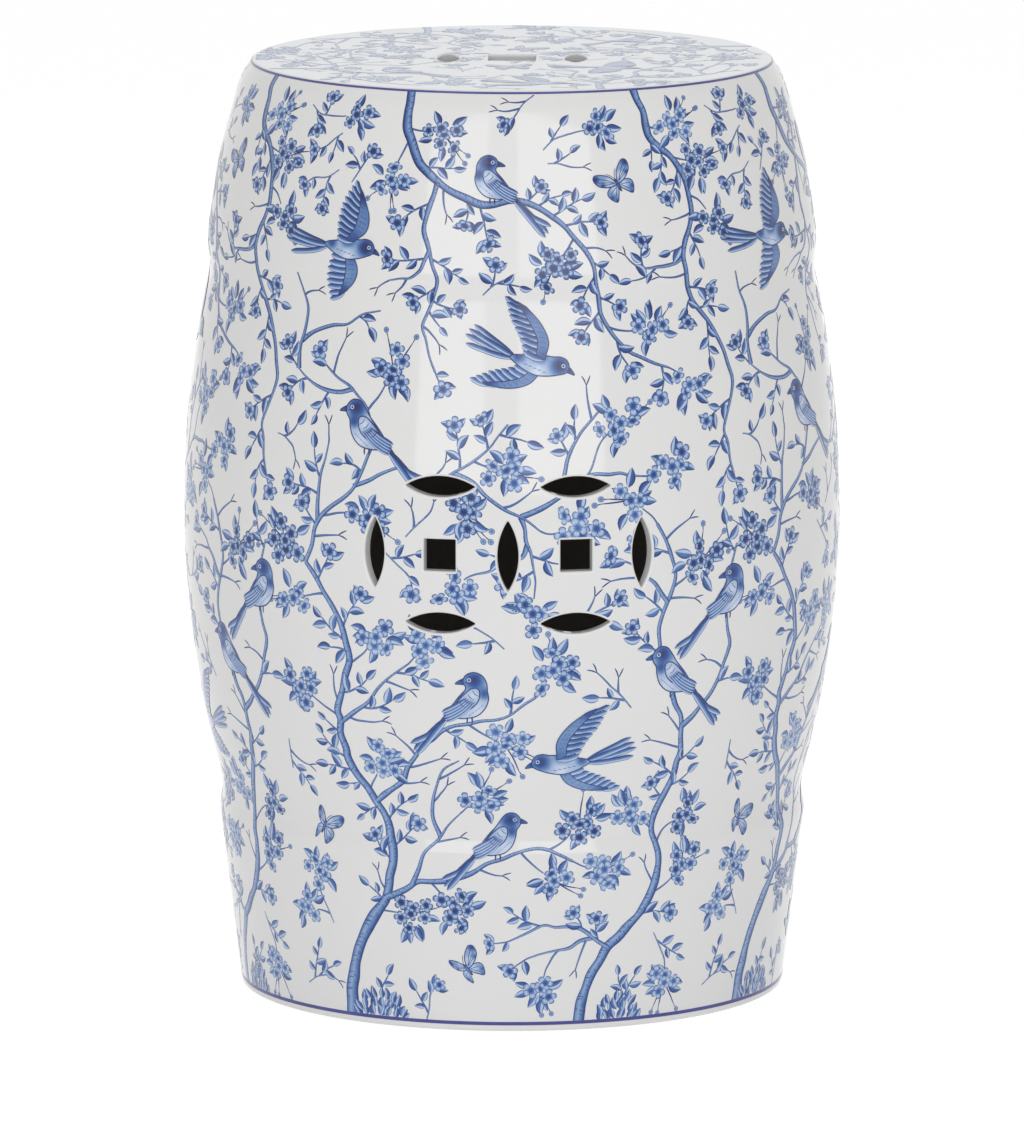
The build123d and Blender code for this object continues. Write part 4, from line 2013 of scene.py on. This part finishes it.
        self.take(at, reach + habit.bunch_room)

    def shoot(self, at: Array, heading: float, reach: float, bloom: Bloom, half: float = 0.72) -> bool:
        """Grows a side shoot if there is room.

        Args:
            at: Where it leaves the limb.
            heading: Way in which it leaves.
            reach: Its length.
            bloom: What it ends in.
            half: Half its width where it starts.

        Returns:
            Whether it grew.
        """
        habit, steps = self.habit, 4
        bend = self.sway(habit.shoot_bend)
        points, way = [np.asarray(at, float)], heading
        for _ in range(steps):
            way += bend / steps + self.sway(habit.shoot_spread)
            points.append(points[-1] + reach / steps * way_at(way))
        middle = points[-1] + way_at(way) * (bloom.value * 0.7 if bloom is Bloom.CLUSTER else 2.0)
        if not self.free(middle, bloom.value) or not self.free(points[2], min(habit.shoot_room, reach / 8)):
            return False
        path = smooth(points, 1.8)
        layer = self.next_layer(Tier.TWIG)
        self.drawing.strip(path, np.linspace(half, habit.tip_half, len(path)), TWIG_LANES, layer)
        for place in path[2::3]:
            self.take(place, 1.0)
        if bloom is Bloom.CLUSTER:
            self.cluster(middle, way, self.chance.randint(*habit.bunch_size))
        elif bloom is Bloom.BARE:
            self._bare_tip(points[-1], way, layer + 0.3)
        else:
            self._leafy(points, way, reach, bloom)
        return True

    def _bare_tip(self, at: Array, way: float, layer: float) -> None:
        """Ends a shoot in two bare twigs.

        Args:
            at: The shoot's end.
            way: Way in which it points.
            layer: Layer to paint in.
        """
        for side in self.habit.bare_twigs:
            end = at + self.habit.bare_reach * way_at(way + side)
            self.drawing.line([at, (at + end) / 2 + (0.2, 0.3), end], self.habit.bare_pen, layer + side * 0.1)
        self.take(at + way_at(way) * 3, 3.0)

    def _leafy(self, points: Sequence[Array], way: float, reach: float, bloom: Bloom) -> None:
        """Puts leaves along a shoot, and a blossom between two leaves or one leaf at its end.

        Args:
            points: Points of the shoot.
            way: Way in which it ends.
            reach: Its length.
            bloom: What it ends in.
        """
        habit, tip = self.habit, points[-1]
        for number in range(max(1, int(reach / habit.leaf_spacing))):
            self.leaf_at(points[1 + number], way + (-1) ** number * self.vary(habit.leaf_lean))
        if bloom is Bloom.LEAVES:
            self.leaf_at(tip, way)
            return
        self.leaf_at(tip, way + habit.pair_lean)
        self.leaf_at(tip, way - habit.pair_lean)
        middle = tip + way_at(way) * 2.5
        self.bloom_at(middle, self.vary(habit.lone_blossom_radius), Tier.BLOSSOM.value[0])
        self.take(middle, 5.0)

    def clothe(self, path: Array, spacing: float, start: float = 0.12, lean: Pair = (0.6, 1.25)) -> int:
        """Grows side shoots along a limb and one at its end.

        Args:
            path: The limb's middle line.
            spacing: Rough distance between shoots.
            start: Share of the limb that stays bare.
            lean: Least and greatest angle between a shoot and the limb.

        Returns:
            Number of shoots that found room.
        """
        habit, grown = self.habit, 0
        lengths = distances(path)
        headings = [math.atan2(y, x) for x, y in ways_along(path)]
        for bloom in (Bloom.CLUSTER, Bloom.SINGLE, Bloom.BARE):
            if self.shoot(path[-1], headings[-1], self.vary(habit.end_length), bloom, habit.end_half):
                grown += 1
                break
        side, mark = self.chance.choice((-1, 1)), lengths[-1] * start
        while mark < lengths[-1] - 3:
            number = int(np.searchsorted(lengths, mark))
            kinds = self.chance.choices(list(Bloom), weights=habit.bloom_weights, k=3)
            for turn, bloom in [(side, bloom) for bloom in kinds] + [(-side, bloom) for bloom in kinds]:
                heading = headings[number] + turn * self.vary(lean)
                if self.shoot(path[number], heading, self.vary(habit.shoot_length), bloom):
                    grown += 1
                    break
            side = -side
            mark += spacing * self.vary(habit.uneven_spacing)
        return grown

    def fork(self, path: Array, reach: float) -> Array | None:
        """Grows a smaller limb from another where there is room.

        Args:
            path: Middle line of the limb that it leaves.
            reach: Its length.

        Returns:
            Its middle line, or None if there is no room.
        """
        habit, steps = self.habit, 5
        number = self.chance.randrange(len(path) // 6, len(path) - 1)
        x, y = ways_along(path)[number]
        side = self.chance.choice((-1, 1))
        heading = math.atan2(y, x) + side * self.vary(habit.fork_lean)
        points, bend = [path[number]], self.sway(habit.fork_bend)
        for _ in range(steps):
            points.append(points[-1] + reach / steps * way_at(heading))
            heading += bend / steps + self.sway(habit.fork_spread)
        if not all(self.free(point, habit.fork_room) for point in points[2:]):
            return None
        return self.limb(points, 2.0 + reach / 50, 0.9)

    def ramify(self, limbs: Sequence[Array], reaches: Sequence[float], rounds: int = 20) -> list[Array]:
        """Grows smaller limbs from some limbs and from one another.

        Args:
            limbs: Middle lines of the limbs.
            reaches: Lengths of the smaller limbs of one round.
            rounds: Number of rounds.

        Returns:
            Middle lines of the limbs, with those of the smaller ones after them.
        """
        paths = list(limbs)
        for reach in tuple(reaches) * rounds:
            grown = self.fork(self.chance.choice(paths), reach)
            if grown is not None:
                paths.append(grown)
        return paths

    def fill(self, rooms: Sequence[float], tries: int = 2500) -> None:
        """Puts loose sprays wherever there is room.

        Args:
            rooms: Radius that has to be free, in each round.
            tries: Number of places to try in a round.
        """
        for room in rooms:
            for _ in range(tries):
                self._spray(self.somewhere(), self.chance.uniform(0, 2 * math.pi), room)

    def _spray(self, at: Array, heading: float, room: float) -> None:
        """Grows a loose spray if there is room; one with fewer than two shoots is rubbed out.

        Args:
            at: Its middle.
            heading: Way in which it points.
            room: Radius that has to be free.
        """
        if not self.free(at, room):
            return
        habit, parts, taken = self.habit, len(self.drawing.parts), len(self.taken)
        way = way_at(heading) * room * habit.spray_reach
        middle = at + left_of(way) * self.sway(habit.spray_bend)
        stem = self.limb([at - way, middle, at + way], *habit.spray_widths)
        if self.clothe(stem, habit.spray_spacing, habit.spray_bare, habit.spray_lean) < 2:
            del self.drawing.parts[parts:], self.taken[taken:]

    def bush(self, at: Sequence[float], width: float, rise: float = 14.0) -> None:
        """Paints a low bush of upright leaves that stands on the foot line.

        Args:
            at: The middle of its foot.
            width: Its width.
            rise: Its height.
        """
        habit, (x, y) = self.habit, at
        count = round(width / habit.bush_spacing)
        for row in range(habit.bush_rows):
            for number in range(count):
                share = (number + self.chance.random()) / count * 2 - 1
                height = (rise - habit.bush_row_drop * row) * math.sqrt(max(0.0, 1 - share**2))
                root = np.array([x + share * width / 2, y + height - 3.0])
                heading = math.pi / 2 - share * habit.bush_lean + self.sway(habit.bush_leaf_turn)
                self.leaf_at(root, heading, self.vary(habit.bush_leaf_length))
        for _ in range(habit.bush_shoots):
            root = np.array([x + self.sway(0.4) * width, y + rise])
            heading = math.pi / 2 + self.sway(habit.bush_lean)
            self.shoot(root, heading, habit.bush_shoot_length, Bloom.LEAVES)
        self.take((x, y + rise / 2), width / 2 + 2)


@dataclass
class BodyPrint:
    """One repeat of the print round the body: two plum trees, hanging boughs, magpies, butterflies.

    perched holds a limb, how far along it a bird sits, its pose and whether it faces left. butterflies
    holds place, turn and whether the wings are folded, bushes holds place and width. overrun is how far
    beyond the print's edges the trunks and boughs start, branch_lengths and spray_rooms hold what is
    grown in each round.
    """

    repeat: float
    foot: float
    rim: float
    seed: int = 7
    margin: float = 5.0
    foothold: Pair = (0.0, 0.9)
    perched: tuple[tuple[str, float, Pose, bool], ...] = (
        ("low_bough", 0.62, Pose.CALM, False),
        ("hanging_bough", 0.4, Pose.LOOKING_BACK, True),
        ("young_tree", 0.68, Pose.CALM, True),
        ("right_bough", 0.62, Pose.LOOKING_BACK, False),
        ("middle_bough", 0.66, Pose.LOOKING_BACK, False),
        ("tree_top", 0.55, Pose.CALM, True),
    )
    flying: tuple[Bird, ...] = (
        Bird(Pose.SOARING, (-92.0, 424.0), turn=-14),
        Bird(Pose.DIVING, (30.0, 160.0), mirrored=True, turn=12),
        Bird(Pose.DIVING, (14.0, 366.0), turn=-24),
    )
    butterflies: tuple[tuple[Pair, float, bool], ...] = (
        ((62.0, 462.0), 28.0, False),
        ((-112.0, 118.0), -20.0, True),
        ((-24.0, 40.0), 40.0, True),
    )
    bushes: tuple[Pair, ...] = ((-80.0, 30.0), (66.0, 22.0))
    branch_lengths: Triple = (52.0, 40.0, 30.0)
    spray_rooms: Triple = (12.0, 10.0, 8.0)
    overrun: float = 2.0
    trunks: tuple[str, ...] = ("old_tree", "young_tree")
    shoot_spacing: float = 8.0
    bare_trunk: float = 0.25
    bare_limb: float = 0.1

    def draw(self) -> Drawing:
        """Draws the repeat, with u from minus to plus half its width.

        Returns:
            The drawing.
        """
        chance = random.Random(self.seed)
        edge = box_outline(self.repeat / 2, self.foot + self.margin, self.rim - self.margin)
        garden = Garden(self.repeat, edge, Motifs(chance), chance)
        limbs = {name: garden.limb(points, *widths) for name, (points, widths) in self._limbs().items()}
        for name, share, pose, mirrored in self.perched:
            garden.perch(limbs[name], share, Bird(pose, self.foothold, mirrored))
        for bird in self.flying:
            garden.add_bird(bird)
        for butterfly_place in self.butterflies:
            garden.add_butterfly(*butterfly_place)
        for across, width in self.bushes:
            garden.bush((across, self.foot), width)
        trunks = [limbs[name] for name in self.trunks]
        for path in garden.ramify(limbs.values(), self.branch_lengths):
            bare = self.bare_trunk if any(path is trunk for trunk in trunks) else self.bare_limb
            garden.clothe(path, self.shoot_spacing, bare)
        garden.fill(self.spray_rooms)
        return garden.drawing

    def _limbs(self) -> dict[str, tuple[Points, Pair]]:
        """Lists the limbs: the points that each runs through, and its width at both ends.

        Returns:
            The limbs, by name.
        """
        top, foot = self.rim + self.overrun, self.foot - self.overrun
        return {
            "old_tree": (
                [(-100, foot), (-97, 30), (-88, 56), (-72, 80), (-66, 108), (-75, 136), (-89, 160)]
                + [(-92, 188), (-84, 214), (-92, 240), (-108, 262)],
                (8.0, 2.6),
            ),
            "low_bough": ([(-72, 80), (-52, 90), (-28, 94), (-4, 106), (16, 112), (36, 104)], (4.4, 1.4)),
            "middle_bough": (
                [(-75, 136), (-58, 150), (-46, 170), (-28, 182), (-6, 186), (14, 198)],
                (3.6, 1.2),
            ),
            "tree_top": (
                [(-108, 262), (-98, 286), (-80, 302), (-70, 326), (-80, 348), (-98, 360)],
                (2.6, 1.2),
            ),
            "coin_bough": ([(-80, 302), (-56, 312), (-34, 308), (-14, 320), (0, 336)], (2.2, 1.0)),
            "young_tree": (
                [(42, foot), (46, 28), (58, 52), (77, 70), (87, 96), (84, 124), (93, 150), (95, 178)]
                + [(84, 204), (78, 232), (86, 258), (76, 284)],
                (6.6, 1.6),
            ),
            "short_bough": ([(58, 52), (40, 64), (20, 66), (2, 58)], (3.0, 1.1)),
            "right_bough": ([(95, 178), (111, 194), (121, 218), (116, 246), (124, 270)], (3.2, 1.2)),
            "hanging_bough": (
                [(-62, top), (-58, 486), (-40, 464), (-16, 452), (8, 454), (30, 440), (46, 418)]
                + [(50, 392), (64, 372), (86, 362)],
                (6.0, 1.4),
            ),
            "drooping_bough": ([(-40, 464), (-46, 436), (-38, 410), (-46, 386), (-38, 362)], (3.4, 1.1)),
            "edge_bough": (
                [(80, top), (86, 488), (101, 470), (107, 444), (99, 420), (105, 396), (119, 376)]
                + [(126, 352), (118, 328), (123, 304)],
                (5.2, 1.3),
            ),
        }


@dataclass
class SeatPrint:
    """The print on the seat: boughs that curve round the finger holes, alike in each quarter.

    perched holds the number of a bough, how far along it a bird sits, its pose and whether it faces left,
    butterflies holds place, turn and whether the wings are folded.
    """

    radius: float
    holes: Sequence[float]
    seed: int = 11
    margin: float = 4.0
    hole_room: float = 17.0
    first_turn: float = 18.0
    tip_width: float = 1.1
    foothold: Pair = (0.0, 0.9)
    perched: tuple[tuple[int, float, Pose, bool], ...] = (
        (0, 0.5, Pose.CALM, False),
        (6, 0.55, Pose.LOOKING_BACK, True),
    )
    perched_size: float = 0.9
    flying: tuple[Pose, ...] = (Pose.SOARING, Pose.DIVING)
    flying_size: float = 0.85
    butterflies: tuple[tuple[Pair, float, bool], ...] = (
        ((0.0, -38.0), 10.0, False),
        ((4.0, 34.0), -30.0, True),
    )
    branch_lengths: Triple = (44.0, 34.0, 26.0)
    spray_rooms: tuple[float, ...] = (11.0, 9.0, 7.0, 5.5, 4.5)
    shoot_spacing: float = 5.0

    def _boughs(self) -> tuple[tuple[Points, float], ...]:
        """Lists a quarter's boughs: the points that each runs through, and its width at the start.

        Returns:
            The boughs of a quarter.
        """
        return (
            ([(self.radius, 6), (104, 14), (90, 34), (66, 46), (52, 68), (28, 76)], 4.6),
            ([(90, 34), (98, 56), (88, 78), (74, 90)], 2.6),
            ([(104, 14), (84, 4), (62, 14), (46, 8)], 2.2),
        )

    def draw(self) -> Drawing:
        """Draws the seat's print about its middle; birds and butterflies keep clear of the holes.

        Returns:
            The drawing.
        """
        chance = random.Random(self.seed)
        edge = unit_turns(np.arange(0, 360, 10)) * (self.radius - self.margin)
        garden = Garden(0.0, edge, Motifs(chance), chance)
        limbs = [
            garden.limb(np.array(bough) @ spun(math.radians(turn + self.first_turn)), width, self.tip_width)
            for turn in (0, 90, 180, 270)
            for bough, width in self._boughs()
        ]
        unmarked = len(garden.taken)
        for across in self.holes:
            garden.take((across, 0.0), self.hole_room)
        hole_marks = slice(unmarked, len(garden.taken))
        for number, share, pose, mirrored in self.perched:
            garden.perch(limbs[number], share, Bird(pose, self.foothold, mirrored, self.perched_size))
        for butterfly_place in self.butterflies:
            garden.add_butterfly(*butterfly_place)
        for pose in self.flying:
            garden.release(pose, self.flying_size)
        del garden.taken[hole_marks]
        for path in garden.ramify(limbs, self.branch_lengths):
            garden.clothe(path, self.shoot_spacing)
        garden.fill(self.spray_rooms)
        return garden.drawing


# ---- Laying the print on the glaze ----


def split(corners: Array, sides: Array) -> tuple[Array, Array]:
    """Cuts triangles along a line.

    Args:
        corners: Corners of the triangles, with all that they hold.
        sides: For each corner, how far it lies on the kept side of the line; negative beyond it.

    Returns:
        The pieces on the kept side, and the pieces beyond.
    """
    kept_side = sides > 0
    count = kept_side.sum(1)
    kept, beyond = [corners[count == 3]], [corners[count == 0]]
    for lone_kept in (True, False):
        pick = count == (1 if lone_kept else 2)
        c, s = corners[pick], sides[pick]
        lone = (kept_side[pick] == lone_kept).argmax(1)
        order = (lone[:, None] + np.arange(3)) % 3
        rows = np.arange(len(c))[:, None]
        c, s = c[rows, order], s[rows, order]
        p, q = (
            c[:, 0] + (c[:, other] - c[:, 0]) * (s[:, 0] / (s[:, 0] - s[:, other]))[:, None]
            for other in (1, 2)
        )
        tip = np.stack([c[:, 0], p, q], 1)
        rest = np.concatenate([np.stack([p, c[:, 1], c[:, 2]], 1), np.stack([p, c[:, 2], q], 1)])
        (kept if lone_kept else beyond).append(tip)
        (beyond if lone_kept else kept).append(rest)
    return np.concatenate(kept), np.concatenate(beyond)


def cut_by(corners: Array, outline: Array) -> tuple[Array, Array]:
    """Cuts triangles by a convex outline.

    Args:
        corners: Corners of the triangles.
        outline: Points of the outline, counter-clockwise.

    Returns:
        What lies inside the outline, and what lies outside.
    """
    low, high = outline.min(0), outline.max(0)
    places = corners[..., :2]
    near = ((places.min(1) < high) & (places.max(1) > low)).all(1)
    within, outside = corners[near], [corners[~near]]
    for start, end in zip(outline, np.roll(outline, -1, 0)):
        way = end - start
        gaps = way[0] * (within[..., 1] - start[1]) - way[1] * (within[..., 0] - start[0])
        within, beyond = split(within, gaps)
        outside.append(beyond)
    return within, np.concatenate(outside)


@dataclass
class BarrelSheet:
    """The flat sheet that wraps round the barrel: u along the belly's widest ring, v up the wall.

    Each step up the wall is stretched as much as the ring there is, so that no angle changes. bends are
    heights between which the outline bends tightly.
    """

    barrel: Barrel
    coins: CoinPiercings
    lines: BandLines
    edge_rounding: float
    bends: tuple[Pair, ...] = ((82.0, 114.0), (352.0, 394.0), (452.0, 470.0))

    def __post_init__(self) -> None:
        """Works out v for each point of the outline, and between which values the print runs."""
        self.points, self.normals = self.barrel.whole()
        steps = np.linalg.norm(np.diff(self.points, axis=0), axis=1)
        middles = (self.points[1:, 0] + self.points[:-1, 0]) / 2
        self.v = np.append(0, np.cumsum(steps * self.barrel.belly_radius / middles))
        self.v += np.arange(len(self.v)) * 1e-9  # Grows also where two sections meet.
        self.repeat = math.pi / 2 * self.barrel.belly_radius
        self.foot = float(np.interp(self.lines.foot_line[1], self.points[:, 1], self.v))
        seat = slice(-len(self.barrel.sections["seat_slab"].points), None)
        self.rim = float(np.interp(-self.lines.rim_line[0], -self.points[seat, 0], self.v[seat]))

    def holes(self) -> list[Array]:
        """Outlines of the coins' openings on the sheet.

        Returns:
            The outlines.
        """
        outlines = []
        for turn, height, edge in self.coins.openings(self.barrel.belly_radius):
            across, rise = edge.grown(self.edge_rounding).T
            z = height + rise
            radius = np.interp(z, self.points[:, 1], self.points[:, 0])
            u = (math.radians(turn) + np.arcsin(across / radius)) * self.barrel.belly_radius
            outlines.append(np.stack([u, np.interp(z, self.points[:, 1], self.v)], 1))
        return outlines

    def seams(self) -> Array:
        """Rows of the wall at which the print is split, so that it follows the bends."""
        z = self.points[:, 1]
        return self.v[np.any([(z > low) & (z < high) for low, high in self.bends], axis=0)]

    def lay(self, places: Array, lifts: Array) -> tuple[Array, Array]:
        """Wraps the sheet round the barrel.

        Args:
            places: Places on the sheet.
            lifts: How far each stands off the glaze.

        Returns:
            Places on the barrel, and normals.
        """
        radius, height = read_off(places[:, 1], self.v, self.points).T
        out, up = read_off(places[:, 1], self.v, self.normals).T
        length = np.hypot(out, up)
        out, up = out / length, up / length
        level = outward(places[:, 0] / self.barrel.belly_radius)
        solid = np.column_stack([level * (radius + lifts * out)[:, None], height + lifts * up])
        return solid, np.column_stack([level * out[:, None], up])


@dataclass
class SeatSheet:
    """The flat of the seat."""

    seat: Seat
    radius: float

    def holes(self) -> list[Array]:
        """Outlines of the finger holes."""
        return self.seat.hole_edges()

    def lay(self, places: Array, lifts: Array) -> tuple[Array, Array]:
        """Lays the sheet on the seat: places and normals."""
        solid = np.column_stack([places, self.seat.barrel.height + lifts])
        return solid, np.tile((0.0, 0.0, 1.0), (len(places), 1))


@dataclass
class Transfer:
    """Turns drawings into thin skins of ink on the glaze."""

    ink: Material
    lift: float = 0.03
    layer_lift: float = 0.006
    least_area: float = 2e-4
    decimals: int = 4

    def lay(
        self, name: str, corners: Array, sheet: BarrelSheet | SeatSheet, seams: Sequence[float] = ()
    ) -> Object:
        """Lays a drawing on the stool.

        Args:
            name: Piece name.
            corners: Corners of the drawing's triangles: place, ink and layer.
            sheet: What it is laid on.
            seams: Values of v at which triangles are split.

        Returns:
            The piece.
        """
        for hole in sheet.holes():
            corners = cut_by(corners, hole)[1]
        for seam in seams:
            corners = np.concatenate(split(corners, corners[..., 1] - seam))
        a, b, c = (corners[:, number, :2] for number in range(3))
        area = np.cross(b - a, c - a)
        corners = np.where(area[:, None, None] < 0, corners[:, ::-1], corners)
        corners = corners[np.abs(area) > self.least_area]
        corners = corners[np.argsort(corners[:, 0, 3], kind="stable")]
        held, index = np.unique(
            np.round(corners.reshape(-1, 4), self.decimals), axis=0, return_inverse=True
        )
        places, inks, layers = held[:, :2], held[:, 2], held[:, 3]
        points, normals = sheet.lay(places, self.lift + layers * self.layer_lift)
        piece = make_piece(name, points, normals, index.reshape(-1, 3).tolist(), self.ink)
        piece.data.attributes.new("ink", "FLOAT", "POINT").data.foreach_set("value", inks)
        low, high = places.min(0), places.max(0)
        flat = ((places - low) / (high - low))[index.reshape(-1)]
        piece.data.uv_layers.new(name="OFBake").uv.foreach_set("vector", flat.ravel())
        return piece


# ---- Studio ----


@dataclass
class Studio:
    """Pale floor, white surroundings, soft boxes and the camera.

    The panes of the tall box in front each hold the angles of their edges from the middle, in degrees,
    and their brightness. top_box holds its side, height and brightness, back_fill its half angle and
    brightness. ambient and glow_shares are how bright the world and the floor are as lights.
    """

    camera_distance: float = 6400.0
    focal_pixels: float = 12685.5
    frame_height: float = 1145.0
    camera_turn: float = 0.7
    camera_elevation: float = 9.644
    target_height: float = 208.06
    sensor: float = 36.0
    box_distance: float = 3000.0
    box_heights: Pair = (130.0, 2000.0)
    panes: tuple[Triple, ...] = ((-32.6, -9.0, 1.75), (-9.0, 3.0, 0.45), (3.0, 32.6, 1.75))
    top_box: Triple = (2400.0, 3200.0, 0.62)
    back_fill: Pair = (20.0, 2.2)
    ambient: float = 0.482
    floor_glow: float = 1.19
    glow_shares: Pair = (0.08, 0.7)
    floor_size: float = 60000.0
    floor_colour: Colour = (254, 254, 254)
    floor_roughness: float = 0.9

    def build(self) -> None:
        """Builds everything round the stool."""
        self._camera()
        half, radiance = self.back_fill
        for number, pane in enumerate(self.panes):
            self._upright_box(f"soft_box_{number}", *pane)
        fill = self._upright_box("back_fill", -half, half, radiance, facing=-1)
        fill.visible_glossy = False
        side, height, radiance = self.top_box
        self._box("top_box", (0.0, 0.0, height), 0.0, (side, side), radiance)
        self._surroundings()
        self._floor()

    def _camera(self) -> None:
        """Adds the camera."""
        data = bpy.data.cameras.new("camera")
        data.sensor_width = self.sensor
        data.lens = self.focal_pixels / self.frame_height * self.sensor
        data.clip_end = 100.0
        turn, rise = math.radians(self.camera_turn), math.radians(self.camera_elevation)
        back = Vector((math.sin(turn) * math.cos(rise), -math.cos(turn) * math.cos(rise), math.sin(rise)))
        camera = bpy.data.objects.new("camera", data)
        target = Vector((0.0, 0.0, self.target_height))
        camera.location = (target + back * self.camera_distance) * METRES
        camera.rotation_mode = "QUATERNION"
        camera.rotation_quaternion = (-back).to_track_quat("-Z", "Y")
        bpy.context.scene.collection.objects.link(camera)
        bpy.context.scene.camera = camera

    def _upright_box(
        self, name: str, left: float, right: float, radiance: float, facing: int = 1
    ) -> Object:
        """Adds an upright soft box in front of the stool or behind it.

        Args:
            name: Its name.
            left: Angle of its left edge from the middle, in degrees.
            right: The same of its right edge.
            radiance: Its brightness, where 1 is white.
            facing: 1 in front, where it faces back; -1 behind, where it faces forwards.

        Returns:
            The light.
        """
        low, high = self.box_heights
        edges = [self.box_distance * math.tan(math.radians(side)) for side in (left, right)]
        middle = (sum(edges) / 2, -facing * self.box_distance, (low + high) / 2)
        size = (edges[1] - edges[0], high - low)
        return self._box(name, middle, facing * math.pi / 2, size, radiance)

    def _box(
        self, name: str, middle: Triple, tilt: float, size: Pair, radiance: float
    ) -> Object:
        """Adds a soft box.

        Args:
            name: Its name.
            middle: Its middle.
            tilt: Turn from facing down towards facing back, in radians.
            size: Its width and height.
            radiance: Its brightness, where 1 is white.

        Returns:
            The light.
        """
        data = bpy.data.lights.new(name, "AREA")
        data.shape = "RECTANGLE"
        data.size, data.size_y = (side * METRES for side in size)
        data.energy = radiance * math.pi * data.size * data.size_y
        light = bpy.data.objects.new(name, data)
        light.location = [place * METRES for place in middle]
        light.rotation_euler = (tilt, 0.0, 0.0)
        light.visible_camera = False
        bpy.context.scene.collection.objects.link(light)
        return light

    def _seen(self, shader: Shader) -> Signal:
        """Adds the nodes that tell a ray that sees the surroundings from one that lights the stool.

        Args:
            shader: Material or world that they go into.

        Returns:
            1 where the ray sees the surroundings, 0 where it lights the stool.
        """
        kinds = ("Is Camera Ray", "Is Glossy Ray", "Is Transmission Ray")
        rays = [shader.node("ShaderNodeLightPath", output=kind) for kind in kinds]
        clamped = {"operation": "ADD", "use_clamp": True}
        return shader.node("ShaderNodeMath", clamped, {0: rays[0] + rays[1], 1: rays[2]})

    def _surroundings(self) -> None:
        """Makes the world: white where it is seen, dimmer as a light."""
        world = bpy.data.worlds.new("surroundings")
        bpy.context.scene.world = world
        world.use_nodes = True
        shader = Shader(world.node_tree)
        strength = self.ambient + self._seen(shader) * (1.0 - self.ambient)
        light = shader.node("ShaderNodeBackground", None, {"Color": LIGHT, "Strength": strength})
        shader.finish(light, "ShaderNodeOutputWorld")

    def _floor(self) -> None:
        """Makes the floor: pale, and nearly as white as the surroundings where it is seen."""
        half = self.floor_size / 2 * METRES
        mesh = bpy.data.meshes.new("floor")
        corners = [(-half, -half, 0), (half, -half, 0), (half, half, 0), (-half, half, 0)]
        mesh.from_pydata(corners, [], [(0, 1, 2, 3)])
        material, shader = new_material("studio_floor")
        matt = shader.surface(Base_Color=painted(self.floor_colour), Roughness=self.floor_roughness)
        glow = shader.node("ShaderNodeEmission", None, {"Color": LIGHT, "Strength": self.floor_glow})
        unseen, seen = self.glow_shares
        share = unseen + self._seen(shader) * (seen - unseen)
        shader.finish(shader.node("ShaderNodeMixShader", None, {0: share, 1: matt, 2: glow}))
        mesh.materials.append(material)
        floor = bpy.data.objects.new("floor", mesh)
        bpy.context.scene.collection.objects.link(floor)


# ---- Assembly ----


@dataclass
class PlumPrint:
    """The whole print: a repeat that is laid on the body once for each quarter turn, and the seat's own.

    The ink deepens up the wall, between two heights on its sheet.
    """

    barrel: Barrel
    wall: BarrelWall
    seat: Seat
    lines: BandLines
    ink: Material
    quarters: int = 4
    overlap_lift: float = 0.02
    deepening_heights: Pair = (240.0, 400.0)
    deepening: Pair = (1.0, 1.2)
    seat_margin: float = 0.3
    seat_layer_lift: float = 0.003

    def build(self) -> list[Object]:
        """Draws the print and lays it on the glaze, between the lines and round the holes."""
        return [*self._body(), self._seat()]

    def _body(self) -> list[Object]:
        """Lays the body's print: a lower and an upper piece for each quarter turn.

        Returns:
            The pieces.
        """
        sheet = BarrelSheet(self.barrel, self.wall.coins, self.lines, self.wall.edge_rounding)
        drawn = BodyPrint(sheet.repeat, sheet.foot, sheet.rim).draw().corners()
        drawn = cut_by(drawn, box_outline(sheet.repeat, sheet.foot, sheet.rim))[0]
        drawn[..., 2] *= np.interp(drawn[..., 1], self.deepening_heights, self.deepening)
        upper, lower = split(drawn, drawn[..., 1] - (sheet.foot + sheet.rim) / 2)
        transfer, pieces = Transfer(self.ink), []
        for number in range(self.quarters):
            moved = np.array((number * sheet.repeat, 0.0, 0.0, self.overlap_lift * (number % 2)))
            for name, half in (("lower", lower), ("upper", upper)):
                piece_name = f"{name}_print_{number + 1}"
                pieces.append(transfer.lay(piece_name, half + moved, sheet, sheet.seams()))
        return pieces

    def _seat(self) -> Object:
        """Lays the seat's print.

        Returns:
            The piece.
        """
        sheet = SeatSheet(self.seat, self.barrel.seat_flat_radius - self.seat_margin)
        holes = [at for at, _ in self.seat.openings()]
        drawn = SeatPrint(sheet.radius, holes).draw().corners()
        drawn = cut_by(drawn, unit_turns(np.arange(0, 360, 3)) * sheet.radius)[0]
        return Transfer(self.ink, layer_lift=self.seat_layer_lift).lay("seat_print", drawn, sheet)


def report(piece: Object) -> None:
    """Logs a finished piece."""
    log.info("%s: %d faces", piece.name, len(piece.data.polygons))


def main() -> None:
    """Builds the stool's looks in order."""
    logging.basicConfig(level=logging.INFO, format="%(message)s")
    bpy.context.scene.view_settings.view_transform = "Standard"
    Studio().build()
    glaze, clay = WhiteBody().material(), BareClay().material()
    barrel = Barrel()
    # A cooler, bluer white for the seat's flat: a painted cool sheen of reflected light.
    pooled_ink_and_painted_sheen = WhiteBody(light=(230, 233, 237), shade=(226, 230, 235)).material()
    wall, seat = BarrelWall(barrel, glaze, clay), Seat(barrel, glaze, pooled_ink_and_painted_sheen)
    lines = BandLines(barrel, IndigoLine().material())
    for section in wall.build():
        report(section)
    report(seat.build())
    for band in lines.build():
        report(band)
    for piece in PlumPrint(barrel, wall, seat, lines, CobaltPrint().material()).build():
        report(piece)
    for name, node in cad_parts.items():
        if name.endswith("coil"):
            node.material_slots[0].material = clay
            report(node)


if __name__ == "__main__":
    main()
